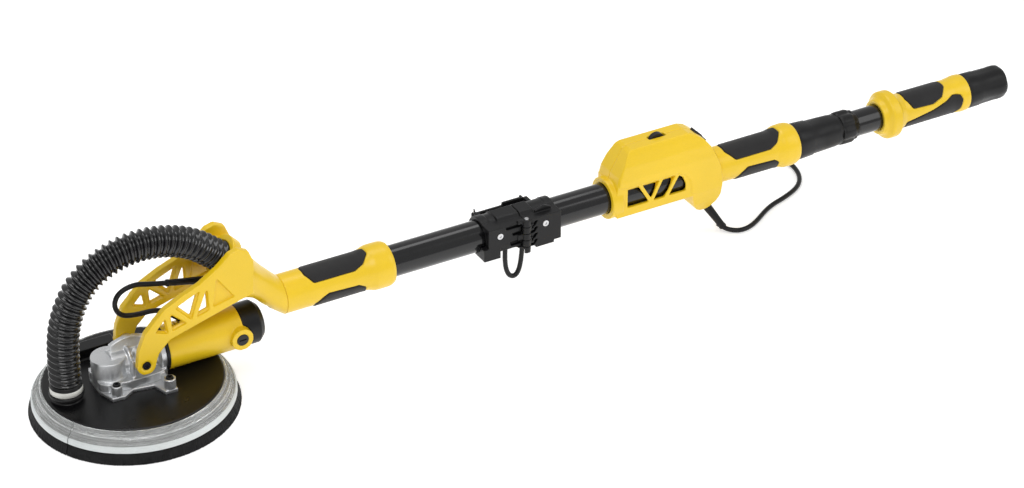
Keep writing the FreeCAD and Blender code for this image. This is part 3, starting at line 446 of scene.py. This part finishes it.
GROOVE_MM, GROOVE_SLOPE_MM = 1.3, 0.9
PAD_SUNK_MM, PAD_RISE_MM, PAD_SLOPE_MM, PAD_EDGE_MM = 1.2, 1.75, 1.3, 0.7


def grip(name, profile, bore, inlays, step=0.6, sides=240):
    """A yellow moulded grip about the pole with soft inlays. profile is (x, radius) in millimetres; an inlay is
    the angle of its middle from the top, its outline as (x, distance round), and its corner radius."""
    xs = np.arange(profile[0][0], profile[-1][0] + step / 2, step)
    knots = np.array(profile)
    radius = np.interp(xs, knots[:, 0], knots[:, 1])
    kernel = np.hanning(11)
    kernel /= kernel.sum()
    radius = np.convolve(np.pad(radius, 5, mode="edge"), kernel, "valid")
    angles = np.arange(sides) * 2 * math.pi / sides
    x, a = np.meshgrid(xs, angles, indexing="ij")
    r = np.repeat(radius[:, None], sides, 1)
    near = np.full(x.shape, 1e9)
    for middle, outline, corner in inlays:
        turn = (a - math.radians(middle) + math.pi) % (2 * math.pi) - math.pi
        near = np.minimum(near, outline_distance(outline, x, turn * r, corner))
    shell = r - GROOVE_MM * smooth_step((GROOVE_SLOPE_MM - near) / GROOVE_SLOPE_MM)
    pad = r - PAD_SUNK_MM + PAD_RISE_MM * smooth_step((0.1 - near) / PAD_SLOPE_MM)

    def skin(height, keep_face):
        verts = np.stack([x, -height * np.sin(a), height * np.cos(a)], -1)
        verts[..., 2] += POLE * 1000
        verts = verts.reshape(-1, 3) * 0.001
        i, k = np.meshgrid(np.arange(len(xs) - 1), np.arange(sides), indexing="ij")
        j = (k + 1) % sides
        faces = np.stack([i * sides + k, i * sides + j, (i + 1) * sides + j, (i + 1) * sides + k], -1)
        faces = faces.reshape(-1, 4)
        if keep_face is not None:
            flag = keep_face.reshape(-1)
            faces = faces[flag[faces].all(1)]
        return verts, faces

    verts, faces = skin(shell, None)
    work = bmesh.new()
    outer = [work.verts.new(v) for v in verts.tolist()]
    for f in faces.tolist():
        work.faces.new([outer[q] for q in f])
    rims = []
    for row in (0, len(xs) - 1):
        ring = outer[row * sides:(row + 1) * sides]
        inner = [work.verts.new((xs[row] * 0.001, -bore * math.sin(t) * 0.001,
                                 POLE + bore * math.cos(t) * 0.001)) for t in angles]
        rims.append(inner)
        stitch(work, ring, inner)
    stitch(work, rims[0], rims[1])
    new_object(name + "_shell", finished(work, name + "_shell"), looks["yellow_plastic"], body_of[name],
               (name,))
    verts, faces = skin(pad, near < PAD_EDGE_MM)
    mesh = bpy.data.meshes.new(name + "_inlays")
    mesh.from_pydata(verts.tolist(), [], faces.tolist())
    work = bmesh.new()
    work.from_mesh(mesh)
    loose = [v for v in work.verts if not v.link_faces]
    bmesh.ops.delete(work, geom=loose, context="VERTS")
    bmesh.ops.recalc_face_normals(work, faces=work.faces)
    work.to_mesh(mesh)
    work.free()
    pads = new_object(name + "_inlays", mesh, looks["soft_grip"], None, (name + "_pads",))
    thick = pads.modifiers.new("thick", "SOLIDIFY")
    thick.thickness = 0.0006
    thick.offset = -1
    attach(pads, body_of[name + "_pads"])


# ------------------------------------------------------------------ mains cord and its coil

CORD = 0.0031
COIL_START, COIL_TOP = 0.0033, 0.0290
coil_x, coil_y = 0.792, 0.141
# The route from the strain relief to the coil is a list of given points.
route = [(0.7865, -0.013, 0.011), (0.7925, -0.0175, 0.0062), (0.799, -0.0235, 0.0032),
         (0.811, -0.0315, 0.0032), (0.832, -0.0275, 0.0032), (0.872, -0.0005, 0.0032),
         (0.904, 0.0090, 0.0032), (0.931, 0.021, 0.0032), (0.948, 0.039, 0.0032),
         (0.957, 0.063, 0.0032), (0.957, 0.086, 0.0032), (0.944, 0.108, 0.0032), (0.922, 0.119, 0.0032),
         (0.893, 0.122, 0.0032), (0.862, 0.117, 0.0032), (0.838, 0.1085, 0.0032)]
per_turn = 16
spread_out = 1 / math.cos(math.pi / per_turn)
layer = 2 * CORD + 0.00005
angle, radius, height = math.radians(-62), 0.0484, COIL_START
turn_points = []


def wind(turns, to_radius, to_height):
    """More points of the coil, clockwise, changing radius and height evenly."""
    global angle, radius, height
    count = round(turns * per_turn)
    start_radius, start_height = radius, height
    for i in range(1, count + 1):
        share = i / count
        angle -= 2 * math.pi / per_turn
        radius = start_radius + (to_radius - start_radius) * share
        height = start_height + (to_height - start_height) * share
        turn_points.append((coil_x + radius * spread_out * math.cos(angle),
                            coil_y + radius * spread_out * math.sin(angle), height))


for column in range(5):
    wind(3, radius, COIL_START + (3 * layer if column % 2 == 0 else 0))
    if column < 4:
        wind(0.375, radius - layer, height)
while 12 < (math.degrees(angle) + 90) % 360 < 348:
    wind(1 / per_turn, radius, height + layer / per_turn)
wind(0.75, radius, COIL_TOP)
tail = [(0.8115, 0.1255, 0.0308), (0.8030, 0.1185, 0.0322), (0.7935, 0.1174, 0.0324), (0.7860, 0.1174, 0.0324)]
cord_points = route + turn_points + tail
cord_curve = bpy.data.curves.new("mains_cord_line", "CURVE")
cord_curve.dimensions = "3D"
cord_spline = cord_curve.splines.new("NURBS")
cord_spline.points.add(len(cord_points) - 1)
for spot, point in zip(cord_spline.points, cord_points):
    spot.co = (*point, 1)
cord_spline.order_u = 3
cord_spline.use_endpoint_u = True
cord_spline.resolution_u = 8
cord_curve.bevel_depth = CORD
cord_curve.bevel_resolution = 6
cord_curve.use_fill_caps = True
cord_piece = new_object("mains_lead", cord_curve, looks["rubber"], "rear_pole", ("mains_cord", "cord_coil"))

# ------------------------------------------------------------------ a material for every CAD node

for name, thing in nodes.items():
    thing.data.materials.clear()
    thing.data.materials.append(looks[slot_of[name]])

# ------------------------------------------------------------------ fork


def across(side, near, far):
    """Two distances from the pole's middle plane, as a low and a high Y on one side of it."""
    return (near, far) if side > 0 else (-far, -near)


ARM_MM, WEB_MM = (20, 40), (29.4, 32.6)
PIVOT_SEAT_MM, PIVOT_SEAT_RADIUS_MM = (35.2, 36.5), 7.2
TRUSS_SHARE = 0.74
recess = [(18, 108), (31, 127), (54, 140), (77, 149), (94, 160), (118, 129.5), (90, 120.5), (60, 110),
          (36, 103)]
triangles = [((17, 111), (30, 126), (33, 105)), ((37.5, 107), (36.5, 130.5), (56, 112)),
             ((43, 136), (74, 149.5), (62, 114.5)), ((68, 116), (84, 120.5), (83, 151))]
recess_cuts, seat_cuts, webs = [], [], []
for side in (-1, 1):
    for near, far in ((WEB_MM[1], ARM_MM[1]), (ARM_MM[0], WEB_MM[0])):
        recess_cuts.append(solid("prism", recess, *across(side, near, far), axis="Y"))
    seat_cuts.append(solid("bar", PIVOT_MM, *across(side, *PIVOT_SEAT_MM), PIVOT_SEAT_RADIUS_MM, axis="Y"))
    webs.append(solid("prism", recess, *across(side, *WEB_MM), axis="Y"))
truss_cuts = []
for corners in triangles:
    middle = Vector([sum(c[k] for c in corners) / 3 for k in (0, 1)])
    small = [tuple(middle + (Vector(c) - middle) * TRUSS_SHARE) for c in corners]
    for side in (-1, 1):
        truss_cuts.append(solid("prism", small, *across(side, *ARM_MM), axis="Y"))
port_cut = leaning(solid("box", (57, -23.2, 140), (117, 23.2, 200)), (117, 0, 169.5), 40)

# The arms are first hollowed on both faces, then get their web back with its openings.
rough = sculpted("fork_rough", [nodes["fork"].data.copy()], recess_cuts, None, ("fork",), voxel=0.0009,
                 rounds=0, keep=1)
hollowed = rough.data.copy()
bpy.data.objects.remove(rough)
sculpted("fork_casting", [hollowed] + webs, seat_cuts + truss_cuts + [port_cut], looks["yellow_plastic"],
         ("fork",), voxel=0.0009, rounds=5)

# ------------------------------------------------------------------ motor and latch

softened("motor_shell", "motor_housing", looks["yellow_plastic"], voxel=0.0007, rounds=4)
for name in ("motor_end_cap", "latch_lever"):
    softened(name + "_body", name, looks["black_plastic"], voxel=0.0008, rounds=4)

# ------------------------------------------------------------------ grips with their inlays


def mirrored(half_outline):
    """An inlay's outline from its half on one side of its middle line."""
    return half_outline + [(x, -y) for x, y in reversed(half_outline)]


grip("front_grip", [(188.0, 23.7), (289, 23.6), (297, 25.2), (303, 27.3), (309, 27.8), (322, 27.7), (326, 26.8),
                    (327.9, 25.2)], TUBE_BORE_MM,
     [(0, mirrored([(220.5, -7), (226.5, -17.3), (276, -17.3), (287, -12.5), (294.5, -4)]), 4.5),
      (180, mirrored([(227, -21), (234.5, -28.5), (241, -32.3), (279, -30.4), (287, -25), (289.5, -15)]), 2.5)])
grip("middle_grip", [(777, 22.8), (789, 23.0), (868, 23.2), (876, 25.4), (881, 27.2), (892, 27.7), (898, 26.9),
                     (900.9, 25.2)], TUBE_BORE_MM,
     [(0, mirrored([(800, -8), (808.5, -19), (857, -19), (867, -14), (873.5, -5)]), 4.5),
      (180, mirrored([(812, -20), (816, -26.5), (823, -32.6), (861, -31.2), (867, -27), (868, -16)]), 2.5)])
grip("rear_grip", [(1032.0, 22.2), (1034, 23.4), (1038, 24.8), (1041, 30.2), (1043, 31), (1053, 31),
                   (1054.6, 30.2), (1057, 26.6), (1060, 25), (1066, 22.5), (1143, 22.3), (1151, 23.4),
                   (1159, 24.4), (1165.9, 24.0)], INNER_TUBE_BORE_MM,
     [(0, mirrored([(1074, -9), (1079.5, -21), (1107, -22), (1120, -17), (1128.5, -5)]), 4.5),
      (180, mirrored([(1069, -26), (1108, -33.3), (1129, -40), (1139, -45.7), (1149, -45.6), (1151.5, -41),
                      (1149.5, -28), (1144, -19)]), 2.5)])

# ------------------------------------------------------------------ switch housing


FACE_MM = 24.8
ROCKER_MM, ROCKER_ANGLE = (759.8, 0, 139.2), 48


def housing_half(name, side):
    """One moulded half: a hood whose window band is set back, a collar round the tube and a drooping tail."""
    tail = [(737, 156), (748, 151.6), (759, 143), (768, 131.6), (776, 118), (782, 103), (785.2, 89), (786, 75),
            (784, 60), (779, 49), (772.5, 41.5), (766, 38.2), (759.5, 38.6), (753, 42.5), (747.5, 50),
            (743.5, 61), (741, 73)]
    roof = [(632, 112), (635, 124), (651, 153), (656, 155.6)]
    underside = [(740, 84), (737, 96), (729, 105.5), (718, 110), (650, 110)]
    hood = roof + tail + underside
    band = [(632, 69.4), (632, 113), (725, 113), (741, 98), (742, 69.4)]
    shallow = [((x - 700) * 0.975 + 700, (z - 100) * 0.955 + 100) for x, z in hood]
    upper_taper = [(12.5, 160), (17.5, 149), (21.8, 136), (25, 118), (45, 118), (45, 170), (12.5, 170)]
    lower_taper = [(25, 74), (20.5, 54), (14.5, 40), (10, 34), (45, 20), (45, 74)]
    near_outline, far_outline = (hood, shallow) if side > 0 else (shallow, hood)
    adds = [
        solid("prism", hood, *across(side, 0, FACE_MM - 3.5), axis="Y"),
        solid("prism", near_outline, *across(side, FACE_MM - 3.6, FACE_MM), far_outline, axis="Y"),
        solid("prism", band, *across(side, 0, 23.4), axis="Y"),
        solid("bar", POLE_AXIS_MM, 625.1, 640, 26.6, axis="X"),
    ]
    cuts = [
        solid("box", (600, 0 if side < 0 else -40, 0), (800, 40 if side < 0 else 0, 200)),
        solid("bar", POLE_AXIS_MM, 600, 760, 19.6, axis="X"),
        solid("bar", POLE_AXIS_MM, 642, 736, 21, axis="X"),
        solid("bar", POLE_AXIS_MM, 770, 800, 23.3, axis="X"),
        solid("prism", [(side * y, z) for y, z in upper_taper], 600, 800, axis="X"),
        solid("prism", [(side * y, z) for y, z in lower_taper], 600, 800, axis="X"),
    ]
    openings = [[(647, 80.5), (647, 107), (662, 107), (677.5, 80.5)],
                [(667.5, 107), (692.5, 107), (680.5, 85)],
                [(697.5, 107), (715.5, 107), (699.5, 80.5), (684, 80.5)],
                [(720.5, 105.5), (726.5, 101), (730.5, 91), (730.5, 81), (706, 81)]]
    for corners in openings:
        cuts.append(solid("prism", corners, *across(side, 17, 40), axis="Y"))
    cuts.append(solid("box", (688, -3.8, 148), (712, 3.8, 165)))
    cuts.append(leaning(solid("box", (746.7, -6.1, 129), (772.9, 6.1, 160)), ROCKER_MM, ROCKER_ANGLE))
    cuts.append(solid("box", (757, -6.4, 30), (774, 6.4, 46)))
    sculpted(name + "_hood", adds, cuts, looks["yellow_plastic"], (name,), voxel=0.0008, rounds=5)


housing_half("switch_housing_near", -1)
housing_half("switch_housing_far", 1)

# ------------------------------------------------------------------ fold joint


def clamp_half(name, rear):
    """A ribbed moulding round the tube's end, with knuckles for the hinge pin."""
    side = 1 if rear else -1

    def at(a, b):
        """Two distances from the fold line, as a low and a high X on this half's side of it."""
        return tuple(sorted((FOLD_MM[0] + side * a, FOLD_MM[0] + side * b)))

    low, high = at(0.2, 49.8)
    adds = [solid("bar", POLE_AXIS_MM, low, high, 22.9, axis="X"),
            solid("bar", POLE_AXIS_MM, *at(40, 49.8), 23.6, axis="X"),
            solid("box", (low, -28.3, 71 if rear else 72), (high, 0, 109.5)),
            solid("prism", [(-20, 104), (-12.5, 112.4), (-9, 113.6), (7, 113.6), (15, 108), (15, 104)],
                  *at(0.6, 19 if rear else 30), axis="X"),
            solid("box", (515, -28.3, 67.6), (540, 5, 78)) if rear else
            solid("box", (444.2, -28.3, 67.6), (467, 5, 84))]
    if rear:
        adds.append(solid("box", (530, 14, 88), (535.9, 31.4, 102.8)))
        fin = [(519, 106), (519, 113), (532, 117), (541, 113), (541, 106)]
        adds.append(solid("prism", fin, -19, -15.5, axis="Y"))
    else:
        adds.append(solid("box", (458.5, 10, 87), (465.4, 24.5, 105)))
        adds.append(solid("bar", (462, 29.4), 87, 91, 3.5, axis="Z", sides=40))
        adds.append(solid("box", (458.5, 14, 87), (465.4, 29.4, 91)))
    cuts = []
    for i in range(5):
        bottom = 68 + 9 * i
        if (i % 2 == 1) == rear:
            adds.append(solid("bar", FOLD_MM, bottom + 0.4, bottom + 8.6, 5.4, axis="Z", sides=40))
            start, end = at(0.0, 11)
            adds.append(solid("box", (start, FOLD_MM[1], bottom + 0.4), (end, -26, bottom + 8.6)))
        else:
            cuts.append(solid("bar", FOLD_MM, bottom - 0.3, bottom + 9.3, 6.1, axis="Z", sides=40))
    cuts.append(solid("bar", POLE_AXIS_MM, low - 9, high + 9, 19.5, axis="X"))
    if rear:
        for i in range(4):
            z = 74 + 8.6 * i
            slot = [(507.5, z + 1), (514, z + 5.4), (518, z + 5.6), (513.5, z - 0.8), (508, z - 2.4)]
            cuts.append(solid("prism", slot, -34, -24, axis="Y"))
    else:
        for bottom, top, first in ((80, 86, 479), (93.5, 97.5, 482), (103.6, 108, 473)):
            slot = [(494.5, bottom), (first + 1.5, bottom), (first, top), (494.5, top)]
            cuts.append(solid("prism", slot, -34, -24, axis="Y"))
        cuts.append(solid("prism", [(466.5, 60), (466.5, 82), (506, 71), (506, 60)], -34, -22, axis="Y"))
    screw_x = FOLD_MM[0] + side * (28.5 if rear else 34)
    cuts.append(solid("bar", (screw_x, 97.5), -34, -25.4, 4.3, axis="Y", sides=40))
    sculpted(name + "_moulding", adds, cuts, looks["black_plastic"], (name,), voxel=0.0006, rounds=3)


clamp_half("front_hinge_clamp", False)
clamp_half("rear_hinge_clamp", True)

# ------------------------------------------------------------------ lock and hose end


def faceted(name, node, profile, bore, count, turn, flat, around=144):
    """A black moulding about the pole whose sides, outside the bore, are drawn in between soft ridges."""
    rings = []
    for x, r in profile:
        ring = []
        for k in range(around):
            t = 2 * math.pi * k / around
            near = math.cos(count * (t - math.radians(turn)))
            rr = r - flat * (0.5 - 0.5 * near) ** 2 * (1 if r > bore + 0.2 else 0)
            ring.append(Vector((x, rr * math.sin(t), POLE_MM + rr * math.cos(t))) * 0.001)
        rings.append(ring)
    return new_object(name, hollow_mesh(name, rings), looks["black_plastic"], body_of[node], (node,))


faceted("lock_sleeve_moulding", "lock_sleeve", [
    (901.4, 19.45), (901.4, 23.2), (902.2, 23.7), (907, 23.7), (925, 22.9), (927, 21.9), (945, 21.4),
    (961, 20.8), (963.6, 20.3), (969.2, 20.2), (969.9, 19.6), (969.9, 16.9)], 16.9, 4, 45, 0.9)
faceted("lock_nut_moulding", "lock_nut", [
    (970.4, 16.9), (970.4, 20.3), (971, 21), (975, 21.4), (987, 21.4), (989.8, 20.4), (990.4, 19.2),
    (994.9, 18.9), (995.9, 18.2), (995.9, 16.9)], 16.9, 6, 30, 2.4)
faceted("hose_end_moulding", "hose_connector", [
    (1166.4, 16.9), (1166.4, 22.2), (1167.2, 22.9), (1173, 23.1), (1187, 22.9), (1189, 22.3), (1213, 21.9),
    (1217, 22.3), (1223, 22.1), (1226.6, 21.3), (1227.9, 20), (1227.9, 18.2), (1225, 17.6), (1184, 17.6),
    (1183, 16.9)], 18.5, 6, 30, 0.7)

# ------------------------------------------------------------------ gearbox

softened("gearbox_case", "gearbox_housing", looks["cast_aluminium"], voxel=0.0007, rounds=5)
softened("gearbox_foot", "gearbox_base", looks["cast_aluminium"], voxel=0.0007, rounds=4)

# ------------------------------------------------------------------ dust hose

hose_points = [(-0.081, 0, 0.0570), (-0.082, 0, 0.098), (-0.075, 0, 0.142), (-0.052, 0, 0.182),
               (-0.012, 0, 0.205), (0.033, 0, 0.209), (0.078, 0, 0.1953), (0.107, 0, 0.171), (0.119, 0, 0.161)]
PITCH, ROOT, RIB = 0.0079, 0.0146, 0.0040


def hose_radius(along, angle):
    """A spiral rib: a rounded crest and a hollow root."""
    phase = (along / PITCH + angle / (2 * math.pi)) % 1
    wave = 0.5 + 0.5 * math.cos(2 * math.pi * phase)
    return ROOT + RIB * wave ** 1.1


hose = new_object("dust_hose_ribbed", swept("dust_hose_ribbed", hose_points, hose_radius, 56, 0.0008),
                  hose_black, None, ("dust_hose",))
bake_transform(hose)

# ------------------------------------------------------------------ head


def two_tone(obj, look, test):
    """Gives the faces that the test picks, by radius and height in millimetres, a second look."""
    obj.data.materials.append(look)
    for face in obj.data.polygons:
        spot = face.center * 1000
        if test(spot):
            face.material_index = 1


ring_profile = [(114.3, 12.9), (117.2, 12.9), (117.9, 13.6), (117.9, 19.2), (117.0, 20.5), (115.9, 20.9),
                (115.4, 22.4), (114.1, 22.9), (113.6, 24.3), (112.5, 25.0), (112.0, 27.0), (110.9, 27.9),
                (110.5, 29.8), (108.6, 30.7), (107.6, 31.4), (107.2, 34.0), (106.3, 35.2), (104.7, 35.2),
                (104.7, 27.5), (108.3, 26.5), (110.3, 22.5), (115.8, 19)]
brush_profile = [(114.4, 12.6), (117.6, 12.6), (119.2, 9.5), (120.8, 5), (122.0, 0.2), (119, 0.1), (116, 0.2),
                 (115, 6)]
TUFTS_PER_DEGREE, TUFT_MM, SKIRT_TOP_MM, SKIRT_OUTSIDE_MM = 4, 0.42, 12.6, 118.5
tufts = [rng.uniform(-1, 1) for _ in range(360 * TUFTS_PER_DEGREE)]


def bristles(r, height, angle):
    """Fine ridges down the skirt's outside, deeper towards the floor."""
    if r <= SKIRT_OUTSIDE_MM:
        return 0
    tuft = tufts[int(round(math.degrees(angle) * TUFTS_PER_DEGREE)) % len(tufts)]
    return tuft * TUFT_MM * (SKIRT_TOP_MM - height) / SKIRT_TOP_MM


def metres(mesh):
    """The mesh brought from millimetres to metres."""
    mesh.transform(Matrix.Scale(0.001, 4))
    return mesh


main_sweep, front_sweep = 304.3, 54.7
for kind, start, sweep in (("ring", -main_sweep / 2, main_sweep),
                           ("front_segment", 180 - front_sweep / 2, front_sweep)):
    clear = new_object("clear_" + kind + "_moulding",
                       metres(lathed("clear_" + kind, ring_profile, max(24, int(sweep)), start, sweep)),
                       looks["clear_plastic"], "head", ("clear_" + kind,), smooth=False)
    two_tone(clear, lip_grey, lambda p: math.hypot(p.x, p.y) > 113.9 and p.z < 21)
    new_object("brush_" + kind + "_bristles",
               metres(lathed("brush_" + kind, brush_profile, int(sweep * TUFTS_PER_DEGREE), start, sweep,
                             ripple=bristles)),
               looks["bristle"], "head", ("brush_" + kind,), smooth=False)

plate_cuts = [solid("box", (46, -44, 35.8), (96, -27.5, 40)), solid("box", (60, -44, 35.2), (64, -27.5, 40)),
              solid("box", (80, -44, 35.2), (83, -27.5, 40))]
DENT_ARC_MM, DENT_MM = 79, 1.3
for i in range(15):
    a = math.radians(250 + 2.4 * i)
    spot = (DENT_ARC_MM * math.cos(a), DENT_ARC_MM * math.sin(a))
    plate_cuts.append(solid("bar", spot, 35.8, 40, DENT_MM, axis="Z", sides=16))
sculpted("shroud_moulding", [nodes["shroud_plate"].data.copy()], plate_cuts, satin_black, ("shroud_plate",),
         voxel=0.0009, rounds=3)

cuff_profile = [(15, 41.6), (19.6, 41.6), (20.1, 42.2), (20.1, 44.4), (19.3, 45.2), (18.5, 45.7), (18.5, 46.4),
                (18.9, 46.6), (18.9, 53.6), (18.5, 53.8), (18.3, 55.2), (17.6, 55.8), (17.6, 57.6), (15, 57.6)]
cuff = new_object("hose_cuff", metres(lathed("hose_cuff", cuff_profile, 96, centre=(HOSE_X_MM, 0, 0))),
                  looks["black_plastic"], "head", ("hose_lower_cuff",))
two_tone(cuff, band_grey, lambda p: 46.5 < p.z < 53.7 and math.hypot(p.x - HOSE_X_MM, p.y) > 17)


RIM_HEIGHT, RIM_WIDTH = 0.0005, 0.003


def boot(name, node, start, end, first, last):
    """A rubber sleeve round a lead, with a rim at each end."""
    long = (Vector(end) - Vector(start)).length

    def radius(along, angle):
        share = along / long
        rim = RIM_HEIGHT if along < RIM_WIDTH or along > long - RIM_WIDTH else 0
        return first + (last - first) * share + rim

    mesh = swept(name, [start, tuple(Vector(start).lerp(Vector(end), 0.5)), end], radius, 36, 0.0007)
    new_object(name, mesh, looks["rubber"], body_of[node], (node,))


boot("fork_boot", "fork_lead_boot", (0.110, 0.009, 0.1295), (0.052, 0.009, 0.1425), 0.0048, 0.0037)
boot("motor_boot", "motor_lead_boot", (0.0665, 0.0073, 0.0921), (0.050, 0.009, 0.104), 0.0051, 0.0037)
boot("cord_relief", "strain_relief", (0.7725, 0.0, 0.0405), (0.7925, -0.0175, 0.0066), 0.0058, 0.0043)

LEAD = 0.003
lead = new_object("tilt_lead", swept("tilt_lead", [
    (0.053, 0.009, 0.1423), (0.0335, 0.009, 0.1466), (0.014, 0.0105, 0.152), (-0.006, 0.010, 0.147),
    (-0.013, 0.010, 0.132), (-0.006, 0.010, 0.116), (0.012, 0.0102, 0.111), (0.0411, 0.0099, 0.1104),
    (0.0505, 0.009, 0.1036)], lambda along, angle: LEAD, 28, 0.0015), looks["rubber"], None, ("fork_lead",))
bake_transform(lead)
loop = new_object("fold_loop", swept("fold_loop", [
    (0.480, -0.015, 0.073), (0.4785, -0.0153, 0.050), (0.484, -0.0155, 0.0295), (0.4955, -0.0155, 0.0265),
    (0.5022, -0.0153, 0.046), (0.5036, -0.015, 0.073)], lambda along, angle: LEAD, 28, 0.0012), looks["rubber"],
    None, ("fold_lead",))
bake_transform(loop)

# ------------------------------------------------------------------ stage and light

FLOOR_DROP, FLOOR_GLOW, SKY = 0.0006, 0.42, 0.62
floor_mesh = bpy.data.meshes.new("floor")
floor_mesh.from_pydata([(-6, -6, 0), (8, -6, 0), (8, 8, 0), (-6, 8, 0)], [], [(0, 1, 2, 3)])
floor = bpy.data.objects.new("floor", floor_mesh)
bpy.context.scene.collection.objects.link(floor)
floor.location.z = -FLOOR_DROP
floor_look = material("floor_white", (0.90, 0.90, 0.90), 0.6, spread=0.004, height=0.0, specular=0.1)
floor_mesh.materials.append(floor_look)
glow = floor_look.node_tree.nodes["Principled BSDF"]
glow.inputs["Emission Color"].default_value = (1, 1, 1, 1)
glow.inputs["Emission Strength"].default_value = FLOOR_GLOW

world = bpy.data.worlds.new("studio")
bpy.context.scene.world = world
world.use_nodes = True
world.node_tree.nodes["Background"].inputs[0].default_value = (1, 1, 1, 1)
world.node_tree.nodes["Background"].inputs[1].default_value = SKY


def soft_light(name, at, towards, wide, tall, power):
    lamp = bpy.data.lights.new(name, "AREA")
    lamp.shape = "RECTANGLE"
    lamp.size, lamp.size_y = wide, tall
    lamp.energy = power
    made = bpy.data.objects.new(name, lamp)
    bpy.context.scene.collection.objects.link(made)
    made.location = at
    made.rotation_euler = (Vector(towards) - Vector(at)).to_track_quat("-Z", "Y").to_euler()


soft_light("key", (-0.6, -1.6, 2.6), (0.4, 0, 0.05), 1.8, 1.2, 27)
soft_light("fill", (2.4, -1.4, 1.6), (0.6, 0, 0.05), 1.2, 1.6, 10)
soft_light("top", (0.5, 0.6, 2.4), (0.5, 0, 0.05), 2.6, 0.8, 16)
bpy.context.scene.view_settings.view_transform = "Standard"
